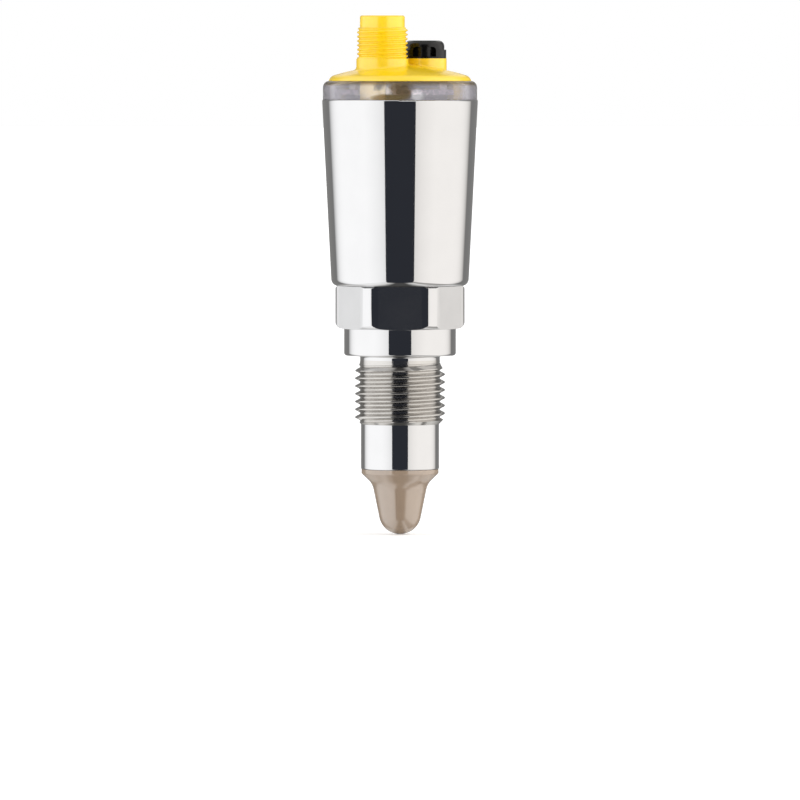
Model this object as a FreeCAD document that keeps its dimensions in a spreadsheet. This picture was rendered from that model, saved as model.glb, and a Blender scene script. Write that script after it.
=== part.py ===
import FreeCAD, Part
import math
import os
import Sketcher

# A compact impedance level switch that screws into a vessel wall with its probe tip pointing down.
# Millimetres. The origin is the centre of the seal face under the collar, +Z points up to the plug.

# Every size that can be chosen by itself, grouped by the piece that it belongs to.
SIZES = {
    # Clearances between pieces that slide together, that lie loosely beside each other, and round seals.
    "slide_gap": 0.05,
    "free_gap": 0.2,
    "seal_gap": 0.02,
    # Hexagon and collar of the process fitting.
    "hex_across_flats": 27.0,
    "hex_corner_rise": 1.55,
    "hex_height": 9.9,
    "hex_lower_round": 1.9,
    "hex_upper_round": 1.0,
    "collar_step": 0.47,
    "collar_height": 6.3,
    "collar_round": 0.65,
    # G 1/2 thread with its relief, and the plain sleeve under it.
    "thread_radius": 10.4775,
    "thread_reach": 16.0,
    "relief_depth": 1.18,
    "relief_height": 2.05,
    "thread_bevel": 0.83,
    "sleeve_step": 1.3775,
    "sleeve_length": 10.5,
    "sleeve_round": 0.3,
    # Spigot that centres the housing, and the stepped bore from the sleeve's end upwards.
    "spigot_shoulder": 0.9,
    "spigot_height": 2.5,
    "spigot_wall": 1.6,
    "tip_bore_radius": 6.6,
    "nut_seat_width": 1.2,
    "nut_seat_depth": 8.0,
    "board_step_height": 3.0,
    # Probe tip outside: rim, flare, round neck, taper and spherical nose.
    "rim_inset": 0.13,
    "rim_height": 1.0,
    "rim_round": 0.35,
    "neck_radius": 6.42,
    "neck_drop": 2.45,
    "neck_round": 4.0,
    "tip_length": 15.24,
    "nose_radius": 4.9,
    # Probe tip inside the sleeve: threaded end and the two seal grooves.
    "threaded_end_step": 0.95,
    "threaded_end_length": 5.5,
    "groove_depth": 1.25,
    "groove_height": 1.4,
    "groove_lift": 4.5,
    "groove_spacing": 4.0,
    # Electrodes inside the tip, from the middle outwards.
    "stem_radius": 1.2,
    "solder_pin_radius": 0.5,
    "solder_pin_rise": 0.8,
    "electrode_radius": 2.9,
    "electrode_length": 7.0,
    "electrode_round": 0.6,
    "nose_wall": 3.24,
    "guard_wall": 0.95,
    "guard_reach": 3.7,
    "guard_setback": 1.0,
    "insulator_rise": 1.5,
    "guard_pin_radius": 0.4,
    # Locknut on the tip's threaded end.
    "locknut_height": 4.0,
    "locknut_slot_width": 2.0,
    "locknut_slot_depth": 1.2,
    # Conical housing shell with the socket and ledge for the light ring and the head's legs.
    "housing_overhang": 2.45,
    "housing_flare": 2.2,
    "housing_height": 43.4,
    "housing_wall": 1.5,
    "housing_floor": 1.8,
    "housing_lower_round": 1.7,
    "housing_upper_round": 0.3,
    "socket_depth": 3.6,
    "ledge_height": 1.5,
    "ledge_width": 1.4,
    # Clear light ring.
    "ring_inset": 0.2,
    "ring_height": 4.4,
    "ring_round": 1.55,
    "ring_wall": 2.55,
    "ring_step_width": 0.3,
    "ring_step_depth": 1.0,
    "lip_wall": 1.1,
    "ring_seal_section": 1.1,
    "upper_seal_section": 0.95,
    # Yellow head: dome, spigot and snap legs.
    "dome_radius": 52.0,
    "dome_edge_height": 1.05,
    "dome_round": 1.9,
    "dome_wall": 1.9,
    "rim_lap": 0.2,
    "rim_lean": 0.4,
    "head_spigot_drop": 1.05,
    "leg_gap": 0.6,
    "leg_thickness": 1.6,
    "leg_angle": 24.0,
    "leg_turn": 65.0,
    "leg_count": 4,
    "hook_reach": 1.1,
    "hook_height": 1.4,
    # M12 plug stub on the head.
    "plug_across": -4.1,
    "plug_depth": -2.4,
    "plug_thread_radius": 5.9,
    "plug_base_margin": 0.17,
    "plug_base_height": 5.1,
    "plug_nose_step": 0.68,
    "plug_nose_height": 2.8,
    "plug_height": 15.2,
    "plug_root_round": 0.9,
    "plug_mouth_chamfer": 0.3,
    "cavity_radius": 4.25,
    "cavity_depth": 9.0,
    # Insert and pins in the stub.
    "insert_flange_width": 0.85,
    "insert_flange_height": 1.9,
    "insert_height": 5.8,
    "insert_groove_depth": 0.75,
    "insert_groove_height": 1.2,
    "insert_groove_drop": 1.0,
    "key_width": 0.9,
    "key_depth": 0.5,
    "key_setback": 1.2,
    "contact_radius": 0.5,
    "contact_circle_radius": 2.5,
    "contact_turn": 45.0,
    "contact_count": 4,
    "contact_setback": 1.0,
    "contact_tail": 0.4,
    "contact_round": 0.3,
    # Vent boss on the head, the membrane in it and the black cap on it.
    "vent_direction": 39.2,
    "vent_land": 0.08,
    "vent_boss_radius": 5.2,
    "vent_boss_height": 5.2,
    "vent_root_round": 0.4,
    "vent_recess_radius": 3.4,
    "vent_recess_depth": 1.3,
    "vent_hole_radius": 1.8,
    "membrane_height": 0.3,
    "cap_inset": 0.1,
    "cap_skirt_height": 2.05,
    "cap_step": 0.45,
    "cap_height": 4.2,
    "cap_round": 1.35,
    "cap_wall": 0.75,
    "cap_roof": 1.0,
    "cap_core_wall": 1.0,
    "cap_core_drop": 0.8,
    "window_lift": 0.4,
    "window_height": 2.3,
    "window_width": 5.4,
    "window_round": 0.8,
    "window_count": 3,
    "core_slot_angle": 36.0,
    "core_slot_height": 1.8,
    # Round board under the head with its lamps.
    "board_thickness": 1.2,
    "led_board_gap": 0.6,
    "notch_spare_angle": 2.0,
    "led_count": 8,
    "led_turn": 42.5,
    "led_width": 2.0,
    "led_depth": 1.0,
    "led_height": 0.8,
    "led_inset": 0.6,
    "led_headroom": 0.15,
    # Moulded carrier: base flange, two slotted rails and top ring.
    "carrier_flange_height": 2.6,
    "carrier_flange_lap": 1.2,
    "carrier_ring_height": 2.5,
    "carrier_ring_width": 3.3,
    "carrier_skirt_depth": 3.0,
    "rail_width": 4.8,
    "rail_depth": 2.4,
    "slot_depth": 1.3,
    # Upright main board and its strips of pins.
    "tongue_width": 14.0,
    "tongue_gap": 2.1,
    "header_pitch": 2.54,
    "header_count": 5,
    "header_depth": 2.5,
    "header_height": 3.8,
    "header_pin_width": 0.64,
    "header_tail": 0.8,
    # Parts on the boards.
    "processor_width": 7.0,
    "processor_height": 1.2,
    "lead_pitch": 0.8,
    "lead_count": 8,
    "lead_width": 0.35,
    "lead_reach": 0.9,
    "lead_thickness": 0.25,
    "transistor_width": 6.5,
    "transistor_length": 3.5,
    "transistor_height": 1.6,
    "transistor_spacing": 11.0,
    "inductor_radius": 3.2,
    "inductor_height": 3.0,
    "inductor_flange": 0.7,
    "inductor_waist": 0.8,
    "capacitor_radius": 2.0,
    "capacitor_height": 4.4,
    "capacitor_base": 0.6,
    "capacitor_spacing": 8.0,
    "capacitor_count": 3,
    "sensing_chip_width": 5.0,
    "sensing_chip_height": 0.9,
    "sensing_chip_shift": 5.4,
}

# Names of the ends of a line or arc, and of a sketch's own two axes.
FIRST_END, SECOND_END, CENTRE = range(1, 4)
UPRIGHT_AXIS, LEVEL_AXIS = range(-2, 0)

# Directions in a sketch's own frame.
SKETCH_UPWARDS = FreeCAD.Vector(0, 1, 0)
SKETCH_OUTWARDS = FreeCAD.Vector(0, 0, 1)

FULL_TURN = 360
TOUCHING = 0.001
NEAR = 0.01

document = FreeCAD.newDocument("ImpedanceLevelSwitch")


class Size:
    """A length that knows both its value and the sheet expression that gives it."""

    def __init__(self, text, value):
        self.text = text
        self.value = value

    def joined(self, sign, other, value):
        return Size(f"({self.text} {sign} {other.text})", value)

    def __add__(self, other):
        other = as_size(other)
        return self.joined("+", other, self.value + other.value)

    def __sub__(self, other):
        other = as_size(other)
        return self.joined("-", other, self.value - other.value)

    def __mul__(self, other):
        other = as_size(other)
        return self.joined("*", other, self.value * other.value)

    def __truediv__(self, other):
        other = as_size(other)
        return self.joined("/", other, self.value / other.value)

    def __neg__(self):
        return Size(f"(0 - {self.text})", -self.value)


def as_size(number):
    return number if isinstance(number, Size) else Size(str(number), number)


def size(name):
    return Size(f"Sizes.{name}", SIZES[name])


def cosine(angle):
    return Size(f"cos({angle.text})", math.cos(math.radians(angle.value)))


def sine(angle):
    return Size(f"sin({angle.text})", math.sin(math.radians(angle.value)))


def third_side(longest, other):
    """The remaining side of a triangle with a right angle."""
    text = f"sqrt({longest.text} * {longest.text} - {other.text} * {other.text})"
    return Size(text, math.sqrt(longest.value ** 2 - other.value ** 2))


def fill_sheet():
    """Write every size and its name into the document's spreadsheet."""
    sheet = document.addObject("Spreadsheet::Sheet", "Sizes")
    for row, (name, number) in enumerate(SIZES.items(), 1):
        sheet.set(f"A{row}", name)
        sheet.set(f"B{row}", str(number))
        sheet.setAlias(f"B{row}", name)
    document.recompute()


fill_sheet()
ZERO = as_size(0)

# Levels, counted from the seal face.
thread_end = -size("thread_reach")
sleeve_end = thread_end - size("sleeve_length")
tip_end = sleeve_end - size("tip_length")
nut_seat = -size("nut_seat_depth")
board_step = size("board_step_height")
hex_base = size("collar_height")
hex_top = hex_base + size("hex_height")
spigot_top = hex_top + size("spigot_height")
housing_top = hex_top + size("housing_height")
socket_floor = housing_top - size("socket_depth")
ledge_base = socket_floor - size("ledge_height")
ring_top = housing_top + size("ring_height")
head_spigot_base = ring_top - size("head_spigot_drop")
dome_edge = ring_top + size("dome_edge_height")
plug_base_top = ring_top + size("plug_base_height")
plug_top = ring_top + size("plug_height")
plug_thread_top = plug_top - size("plug_nose_height")
cavity_floor = plug_top - size("cavity_depth")
vent_boss_top = ring_top + size("vent_boss_height")
led_board_top = head_spigot_base - size("led_height") - size("led_headroom")
led_board_base = led_board_top - size("board_thickness")
carrier_ring_base = led_board_base - size("carrier_ring_height")
carrier_flange_top = spigot_top + size("carrier_flange_height")
sensing_board_top = board_step + size("board_thickness")
tongue_base = sensing_board_top + size("tongue_gap")
threaded_end_top = nut_seat + size("threaded_end_length")
guard_base = sleeve_end - size("guard_reach")
guard_top = threaded_end_top - size("guard_setback")
electrode_base = tip_end + size("nose_wall")

# Radii, from the hexagon outwards to the head and inwards to the boards.
hex_flat = size("hex_across_flats") / 2
hex_corner = hex_flat + size("hex_corner_rise")
collar_radius = hex_flat - size("collar_step")
spigot_radius = hex_flat - size("spigot_shoulder")
upper_bore = spigot_radius - size("spigot_wall")
relief_radius = size("thread_radius") - size("relief_depth")
sleeve_radius = size("thread_radius") - size("sleeve_step")
nut_bore = size("tip_bore_radius") + size("nut_seat_width")
shank_radius = size("tip_bore_radius") - size("slide_gap")
threaded_end_radius = shank_radius - size("threaded_end_step")
groove_radius = shank_radius - size("groove_depth")
guard_bore = size("electrode_radius") + size("slide_gap")
guard_radius = guard_bore + size("guard_wall")
housing_base_radius = hex_flat + size("housing_overhang")
housing_top_radius = housing_base_radius + size("housing_flare")
ring_radius = housing_top_radius - size("ring_inset")
ring_bore = ring_radius - size("ring_wall")
lip_radius = ring_bore + size("lip_wall")
socket_radius = lip_radius + size("slide_gap") * 2
ledge_radius = socket_radius - size("ledge_width")
head_radius = ring_radius - size("ring_round") + size("rim_lap")
dome_edge_radius = head_radius - size("rim_lean")
leg_radius = ledge_radius - size("leg_gap")
leg_bore = leg_radius - size("leg_thickness")
led_board_radius = ring_bore - size("led_board_gap")
carrier_radius = leg_bore - size("free_gap")
carrier_bore = carrier_radius - size("carrier_ring_width")
plug_base_radius = size("plug_thread_radius") + size("plug_base_margin")
plug_nose_radius = size("plug_thread_radius") - size("plug_nose_step")
cap_radius = size("vent_boss_radius") - size("cap_inset")

# The dome's sphere has its centre on the main axis and meets the head's rim at its own level.
dome_centre = dome_edge - third_side(size("dome_radius"), dome_edge_radius)
dome_top = dome_centre + size("dome_radius")

# The vent boss stands beside the plug stub, with room between their roots.
root_rounds = size("plug_root_round") + size("vent_root_round") + size("vent_land")
vent_distance = plug_base_radius + size("vent_boss_radius") + root_rounds
plug_place = (size("plug_across"), size("plug_depth"))
vent_place = (
    size("plug_across") + vent_distance * cosine(size("vent_direction")),
    size("plug_depth") + vent_distance * sine(size("vent_direction")),
)

# The boards' strips of pins lie against the rear face of the main board.
board_face = size("board_thickness") / 2
header_middle = board_face + size("header_depth") / 2
header_length = size("header_pitch") * size("header_count")


def radius_of_housing(level):
    """Outer radius of the conical housing at a level."""
    share = (level - hex_top) / size("housing_height")
    return housing_base_radius + size("housing_flare") * share


def new_body(label, place=None):
    """Start a piece, standing on the main axis or on one of its own."""
    body = document.addObject("PartDesign::Body", label)
    body.Label = label
    if place:
        body.setExpression("Placement.Base.x", place[0].text)
        body.setExpression("Placement.Base.y", place[1].text)
    return body


def origin_feature(body, role):
    return [feature for feature in body.Origin.OriginFeatures if feature.Role == role][0]


def new_sketch(body, name, plane="XZ_Plane", lift=None, place=None):
    """Start a sketch on an origin plane, lifted off it or moved within it where asked."""
    sketch = body.newObject("Sketcher::SketchObject", name)
    sketch.AttachmentSupport = [(origin_feature(body, plane), "")]
    sketch.MapMode = "FlatFace"
    if lift:
        sketch.setExpression("AttachmentOffset.Base.z", lift.text)
    if place:
        sketch.setExpression("AttachmentOffset.Base.x", place[0].text)
        sketch.setExpression("AttachmentOffset.Base.y", place[1].text)
    return sketch


def turn_sketch(sketch, axis, angle):
    """Turn a sketch about one of its own directions, by an angle from the sheet."""
    sketch.AttachmentOffset = FreeCAD.Placement(FreeCAD.Vector(), FreeCAD.Rotation(axis, angle.value))
    sketch.setExpression("AttachmentOffset.Rotation.Angle", angle.text)


def flat_point(point):
    return FreeCAD.Vector(point[0].value, point[1].value, 0)


def hold(sketch, geometry, end, point):
    """Hold one end of a line or arc at its distances from the sketch's origin, None where it is free."""
    for kind, axis, distance in zip(("DistanceX", "DistanceY"), (UPRIGHT_AXIS, LEVEL_AXIS), point):
        if distance is None:
            continue
        if distance.text == ZERO.text:
            sketch.addConstraint(Sketcher.Constraint("PointOnObject", geometry, end, axis))
            continue
        held = Sketcher.Constraint(kind, LEVEL_AXIS, FIRST_END, geometry, end, distance.value)
        index = sketch.addConstraint(held)
        sketch.setExpression(f"Constraints[{index}]", distance.text)


def hold_radius(sketch, geometry, radius):
    index = sketch.addConstraint(Sketcher.Constraint("Radius", geometry, radius.value))
    sketch.setExpression(f"Constraints[{index}]", radius.text)


def join(sketch, geometry, end, following, start):
    sketch.addConstraint(Sketcher.Constraint("Coincident", geometry, end, following, start))


def add_line(sketch, start, end):
    return sketch.addGeometry(Part.LineSegment(flat_point(start), flat_point(end)), False)


def add_arc(sketch, centre, radius, first_angle, last_angle):
    circle = Part.Circle(flat_point(centre), SKETCH_OUTWARDS, radius.value)
    return sketch.addGeometry(Part.ArcOfCircle(circle, first_angle, last_angle), False)


def add_path(sketch, corners):
    """Draw joined straight lines through the corners, each corner held by its sizes."""
    lines = [add_line(sketch, start, end) for start, end in zip(corners, corners[1:])]
    for line, following in zip(lines, lines[1:]):
        join(sketch, line, SECOND_END, following, FIRST_END)
    hold(sketch, lines[0], FIRST_END, corners[0])
    for line, start, end in zip(lines, corners, corners[1:]):
        upright = start[0].text == end[0].text
        level = start[1].text == end[1].text
        if upright:
            sketch.addConstraint(Sketcher.Constraint("Vertical", line))
        if level:
            sketch.addConstraint(Sketcher.Constraint("Horizontal", line))
        hold(sketch, line, SECOND_END, (None if upright else end[0], None if level else end[1]))
    return lines


def add_outline(sketch, corners):
    """Draw a closed outline of straight lines through the corners."""
    lines = add_path(sketch, corners)
    closing = add_line(sketch, corners[-1], corners[0])
    join(sketch, lines[-1], SECOND_END, closing, FIRST_END)
    join(sketch, closing, SECOND_END, lines[0], FIRST_END)


def add_rectangle(sketch, left, right, low, high):
    add_outline(sketch, [(left, low), (right, low), (right, high), (left, high)])


def add_circle(sketch, centre, radius):
    circle = Part.Circle(flat_point(centre), SKETCH_OUTWARDS, radius.value)
    geometry = sketch.addGeometry(circle, False)
    hold(sketch, geometry, CENTRE, centre)
    hold_radius(sketch, geometry, radius)


def turned(body, name, sketch, angle=None):
    """Revolve a sketch about its upright axis, all round or by an angle to both sides of it."""
    feature = body.newObject("PartDesign::Revolution", name)
    feature.Profile = sketch
    feature.ReferenceAxis = (sketch, ["V_Axis"])
    feature.Angle = FULL_TURN
    if angle:
        feature.Midplane = True
        feature.setExpression("Angle", angle.text)
    document.recompute()
    return feature


def must_remove(feature, before, name):
    """A cut has to take something away."""
    if feature.Shape.Volume > before - TOUCHING:
        raise ValueError(f"{name} cuts nothing")
    return feature


def turned_cut(body, name, sketch, angle=None):
    """Revolve a sketch about its upright axis and take it away."""
    before = body.Shape.Volume
    feature = body.newObject("PartDesign::Groove", name)
    feature.Profile = sketch
    feature.ReferenceAxis = (sketch, ["V_Axis"])
    feature.Angle = FULL_TURN
    if angle:
        feature.Midplane = True
        feature.setExpression("Angle", angle.text)
    document.recompute()
    return must_remove(feature, before, name)


def padded(body, name, sketch, length, both_sides=False, rearwards=False):
    """Raise a sketch off its plane, the other way, or by half the length to both sides of it."""
    feature = body.newObject("PartDesign::Pad", name)
    feature.Profile = sketch
    feature.Midplane = both_sides
    feature.Reversed = rearwards
    feature.setExpression("Length", length.text)
    document.recompute()
    return feature


def pocketed(body, name, sketch, depth, both_sides=False):
    """Cut a sketch down from its plane, or by half the depth to both sides of it."""
    before = body.Shape.Volume
    feature = body.newObject("PartDesign::Pocket", name)
    feature.Profile = sketch
    feature.Midplane = both_sides
    feature.setExpression("Length", depth.text)
    document.recompute()
    return must_remove(feature, before, name)


def ring_of(body, name, features, count, axis=None):
    """Repeat features evenly round the body's axis, or round the axis given."""
    pattern = body.newObject("PartDesign::PolarPattern", name)
    pattern.Originals = features
    pattern.Axis = axis or (origin_feature(body, "Z_Axis"), [""])
    pattern.Angle = FULL_TURN
    pattern.setExpression("Occurrences", count.text)
    body.Tip = pattern
    document.recompute()
    return pattern


def row_of(body, name, features, direction, length, count):
    """Repeat features evenly along a direction."""
    pattern = body.newObject("PartDesign::LinearPattern", name)
    pattern.Originals = features
    pattern.Direction = direction
    pattern.setExpression("Length", length.text)
    pattern.setExpression("Occurrences", count.text)
    body.Tip = pattern
    document.recompute()
    return pattern


def level_circle(radius, level):
    """Test for a full circle of this radius about the body's axis at this level."""

    def matches(edge):
        curve = edge.Curve
        if not isinstance(curve, Part.Circle):
            return False
        wide = abs(curve.Radius - radius.value) < TOUCHING
        high = abs(curve.Center.z - level.value) < TOUCHING
        centred = math.hypot(curve.Center.x, curve.Center.y) < TOUCHING
        return wide and high and centred

    return matches


def root_of(place, radius, level):
    """Test for the curve where an upright cylinder of this radius leaves the dome above this level."""

    def matches(edge):
        if isinstance(edge.Curve, (Part.Line, Part.Circle)):
            return False
        points = edge.discretize(9)
        reach = [math.hypot(point.x - place[0].value, point.y - place[1].value) for point in points]
        on_wall = all(abs(distance - radius.value) < NEAR for distance in reach)
        return on_wall and all(point.z > level.value for point in points)

    return matches


def softened(body, name, feature, matches, radius, kind="Fillet"):
    """Round or bevel the edges of a feature that match."""
    edges = enumerate(feature.Shape.Edges, 1)
    names = [f"Edge{number}" for number, edge in edges if not edge.Degenerated and matches(edge)]
    if not names:
        raise ValueError(f"{name} finds no edge")
    softening = body.newObject(f"PartDesign::{kind}", name)
    softening.Base = (feature, names)
    softening.setExpression("Radius" if kind == "Fillet" else "Size", radius.text)
    document.recompute()
    return softening


def make_process_fitting():
    """One turned piece: sleeve, thread, relief, collar, hexagon and housing spigot, bored in steps."""
    body = new_body("process_fitting")
    profile = new_sketch(body, "TurnedProfile")
    thread_foot = thread_end + size("sleeve_step")
    relief_end = -size("relief_height")
    thread_head = relief_end - size("thread_bevel")
    add_outline(profile, [
        (size("tip_bore_radius"), sleeve_end),
        (sleeve_radius, sleeve_end),
        (sleeve_radius, thread_end),
        (size("thread_radius"), thread_foot),
        (size("thread_radius"), thread_head),
        (relief_radius, relief_end),
        (relief_radius, ZERO),
        (collar_radius, ZERO),
        (collar_radius, hex_base),
        (hex_corner, hex_base),
        (hex_corner, hex_top),
        (spigot_radius, hex_top),
        (spigot_radius, spigot_top),
        (upper_bore, spigot_top),
        (upper_bore, board_step),
        (nut_bore, board_step),
        (nut_bore, nut_seat),
        (size("tip_bore_radius"), nut_seat),
    ])
    turned(body, "TurnedBlank", profile)
    roundings = [
        ("SleeveEdge", sleeve_radius, sleeve_end, size("sleeve_round")),
        ("CollarEdge", collar_radius, ZERO, size("collar_round")),
        ("HexLowerEdge", hex_corner, hex_base, size("hex_lower_round")),
        ("HexUpperEdge", hex_corner, hex_top, size("hex_upper_round")),
    ]
    for name, radius, level, rounding in roundings:
        softened(body, name, body.Tip, level_circle(radius, level), rounding)
    add_hexagon(body)
    return body


def add_hexagon(body):
    """Mill the six flats: everything outside the hexagon goes, one flat facing the front."""
    flats = new_sketch(body, "Hexagon", "XY_Plane", hex_top)
    side = size("hex_across_flats") / 3 ** 0.5
    add_outline(flats, [
        (side, ZERO),
        (side / 2, hex_flat),
        (-side / 2, hex_flat),
        (-side, ZERO),
        (-side / 2, -hex_flat),
        (side / 2, -hex_flat),
    ])
    add_circle(flats, (ZERO, ZERO), hex_corner * 2)
    pocketed(body, "HexagonFlats", flats, size("hex_height"))


def make_probe_tip():
    """The insulating tip: flared rim and rounded nose outside, sealed and threaded shank inside."""
    body = new_body("probe_tip")
    profile = new_sketch(body, "TipProfile")
    rim_radius = sleeve_radius - size("rim_inset")
    rim_base = sleeve_end - size("rim_height")
    neck = (size("neck_radius"), rim_base - size("neck_drop"))
    nose_centre = tip_end + size("nose_radius")
    # The nose sphere runs into the taper where the line from the neck just touches it.
    rise = neck[1].value - nose_centre.value
    reach = math.hypot(neck[0].value, rise)
    touch = math.atan2(rise, neck[0].value) - math.acos(size("nose_radius").value / reach)
    nose = add_arc(profile, (ZERO, nose_centre), size("nose_radius"), -math.pi / 2, touch)
    touch_point = (
        as_size(size("nose_radius").value * math.cos(touch)),
        as_size(nose_centre.value + size("nose_radius").value * math.sin(touch)),
    )
    taper = add_line(profile, touch_point, neck)
    lines = add_path(profile, [
        neck,
        (rim_radius, rim_base),
        (rim_radius, sleeve_end),
        (shank_radius, sleeve_end),
        (shank_radius, nut_seat),
        (threaded_end_radius, nut_seat),
        (threaded_end_radius, threaded_end_top),
        (ZERO, threaded_end_top),
        (ZERO, tip_end),
    ])
    hold(profile, nose, CENTRE, (ZERO, None))
    hold_radius(profile, nose, size("nose_radius"))
    profile.addConstraint(Sketcher.Constraint("Tangent", nose, SECOND_END, taper, FIRST_END))
    join(profile, taper, SECOND_END, lines[0], FIRST_END)
    join(profile, lines[-1], SECOND_END, nose, FIRST_END)
    turned(body, "TurnedTip", profile)
    softened(body, "NeckRound", body.Tip, level_circle(*neck), size("neck_round"))
    softened(body, "RimRound", body.Tip, level_circle(rim_radius, rim_base), size("rim_round"))

    groove = new_sketch(body, "SealGroove")
    groove_base = sleeve_end + size("groove_lift")
    groove_top = groove_base + size("groove_height")
    add_rectangle(groove, groove_radius, shank_radius + size("free_gap"), groove_base, groove_top)
    cut = turned_cut(body, "LowerSealGroove", groove)
    upwards = (origin_feature(body, "Z_Axis"), [""])
    row_of(body, "SealGrooves", [cut], upwards, size("groove_spacing"), as_size(2))

    bore = new_sketch(body, "ElectrodeBore")
    add_outline(bore, [
        (ZERO, electrode_base),
        (guard_bore, electrode_base),
        (guard_bore, guard_base),
        (guard_radius + size("slide_gap"), guard_base),
        (guard_radius + size("slide_gap"), threaded_end_top + size("free_gap")),
        (ZERO, threaded_end_top + size("free_gap")),
    ])
    turned_cut(body, "SteppedBore", bore)
    return body


def make_tip_seal_rings():
    """Two rings in the grooves of the shank."""
    body = new_body("tip_seal_rings")
    section = new_sketch(body, "RingSection")
    groove_middle = sleeve_end + size("groove_lift") + size("groove_height") / 2
    ring_middle = (groove_radius + size("tip_bore_radius")) / 2
    thickness = size("tip_bore_radius") - groove_radius - size("seal_gap") * 2
    add_circle(section, (ring_middle, groove_middle), thickness / 2)
    ring = turned(body, "LowerRing", section)
    upwards = (origin_feature(body, "Z_Axis"), [""])
    row_of(body, "Rings", [ring], upwards, size("groove_spacing"), as_size(2))
    return body


def make_tip_locknut():
    """Ring nut on the threaded end, with two slots for a pin spanner."""
    body = new_body("tip_locknut")
    profile = new_sketch(body, "NutProfile")
    top = nut_seat + size("locknut_height")
    outer = nut_bore - size("free_gap")
    add_rectangle(profile, threaded_end_radius + size("slide_gap"), outer, nut_seat, top)
    turned(body, "NutRing", profile)
    slot = new_sketch(body, "SpannerSlot", "XY_Plane", top)
    half = size("locknut_slot_width") / 2
    add_rectangle(slot, -outer * 2, outer * 2, -half, half)
    pocketed(body, "SpannerSlots", slot, size("locknut_slot_depth"))
    return body


def make_sensor_electrode():
    """Electrode in the nose with its stem and the thin pin that is soldered to the sensing board."""
    body = new_body("sensor_electrode")
    profile = new_sketch(body, "ElectrodeProfile")
    head_top = electrode_base + size("electrode_length")
    pin_top = sensing_board_top + size("solder_pin_rise")
    add_outline(profile, [
        (ZERO, electrode_base),
        (size("electrode_radius"), electrode_base),
        (size("electrode_radius"), head_top),
        (size("stem_radius"), head_top),
        (size("stem_radius"), board_step),
        (size("solder_pin_radius"), board_step),
        (size("solder_pin_radius"), pin_top),
        (ZERO, pin_top),
    ])
    turned(body, "TurnedElectrode", profile)
    foot = level_circle(size("electrode_radius"), electrode_base)
    softened(body, "FootRound", body.Tip, foot, size("electrode_round"))
    return body


def make_tube(label, bore, radius, base, top):
    """A plain tube about the main axis."""
    body = new_body(label)
    profile = new_sketch(body, "TubeProfile")
    add_rectangle(profile, bore, radius, base, top)
    turned(body, "Tube", profile)
    return body


def make_electrode_insulator():
    """Sleeve between the stem and the guard, from the electrode's head to just above the guard."""
    base = electrode_base + size("electrode_length")
    bore = size("stem_radius") + size("slide_gap")
    top = guard_top + size("insulator_rise")
    return make_tube("electrode_insulator", bore, size("electrode_radius"), base, top)


def make_guard_electrode():
    """Tube in the tip round the insulator, on the shoulder of the tip's bore."""
    return make_tube("guard_electrode", guard_bore, guard_radius, guard_base, guard_top)


def guard_pin_place():
    """The guard's pin stands on the middle of the guard's upper edge."""
    return ((guard_bore + guard_radius) / 2, ZERO)


def make_guard_contact():
    """Pin from the guard up through the sensing board."""
    body = new_body("guard_contact")
    outline = new_sketch(body, "PinCircle", "XY_Plane", guard_top)
    add_circle(outline, guard_pin_place(), size("guard_pin_radius"))
    length = sensing_board_top + size("solder_pin_rise") - guard_top
    padded(body, "Pin", outline, length)
    return body


def make_sensing_board():
    """Round board on the step of the fitting's bore, with holes for electrode, guard pin and strip."""
    body = new_body("sensing_board")
    outline = new_sketch(body, "BoardOutline", "XY_Plane", board_step)
    add_circle(outline, (ZERO, ZERO), upper_bore - size("free_gap"))
    padded(body, "Board", outline, size("board_thickness"))
    holes = new_sketch(body, "PinHoles", "XY_Plane", sensing_board_top)
    add_circle(holes, (ZERO, ZERO), size("solder_pin_radius") + size("slide_gap"))
    add_circle(holes, guard_pin_place(), size("guard_pin_radius") + size("slide_gap"))
    pocketed(body, "PinHolesThrough", holes, size("board_thickness"))
    add_header_holes(body, sensing_board_top)
    return body


def add_header_holes(body, level):
    """Drill the row of holes for a strip's pins through a round board."""
    hole = new_sketch(body, "HeaderHole", "XY_Plane", level)
    radius = size("header_pin_width") / 2 ** 0.5 + size("slide_gap")
    add_circle(hole, (-header_run() / 2, header_middle), radius)
    drilled = pocketed(body, "FirstHeaderHole", hole, size("board_thickness"))
    row_of(body, "HeaderHoles", [drilled], (hole, ["H_Axis"]), header_run(), size("header_count"))


def header_run():
    """Distance from the first pin of a strip to the last."""
    return size("header_pitch") * (size("header_count") - 1)


def make_header(label, base, pins_base, pins_top):
    """Moulded strip against the main board, with its row of pins through a round board."""
    body = new_body(label)
    outline = new_sketch(body, "StripOutline", "XY_Plane", base)
    half = header_length / 2
    add_rectangle(outline, -half, half, board_face, board_face + size("header_depth"))
    padded(body, "Strip", outline, size("header_height"))
    pin = new_sketch(body, "PinSection", "XY_Plane", pins_base)
    half = size("header_pin_width") / 2
    first = -header_run() / 2
    add_rectangle(pin, first - half, first + half, header_middle - half, header_middle + half)
    raised = padded(body, "FirstPin", pin, pins_top - pins_base)
    row_of(body, "Pins", [raised], (pin, ["H_Axis"]), header_run(), size("header_count"))
    return body


def make_sensing_header():
    """Strip standing on the sensing board, its pins passing down through the board."""
    pins_top = sensing_board_top + size("header_height") - size("free_gap")
    return make_header("sensing_header", sensing_board_top, board_step - size("header_tail"), pins_top)


def make_board_header():
    """Strip under the led board, its pins passing up through the board."""
    base = led_board_base - size("header_height")
    return make_header("board_header", base, base + size("free_gap"), led_board_top + size("header_tail"))


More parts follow.
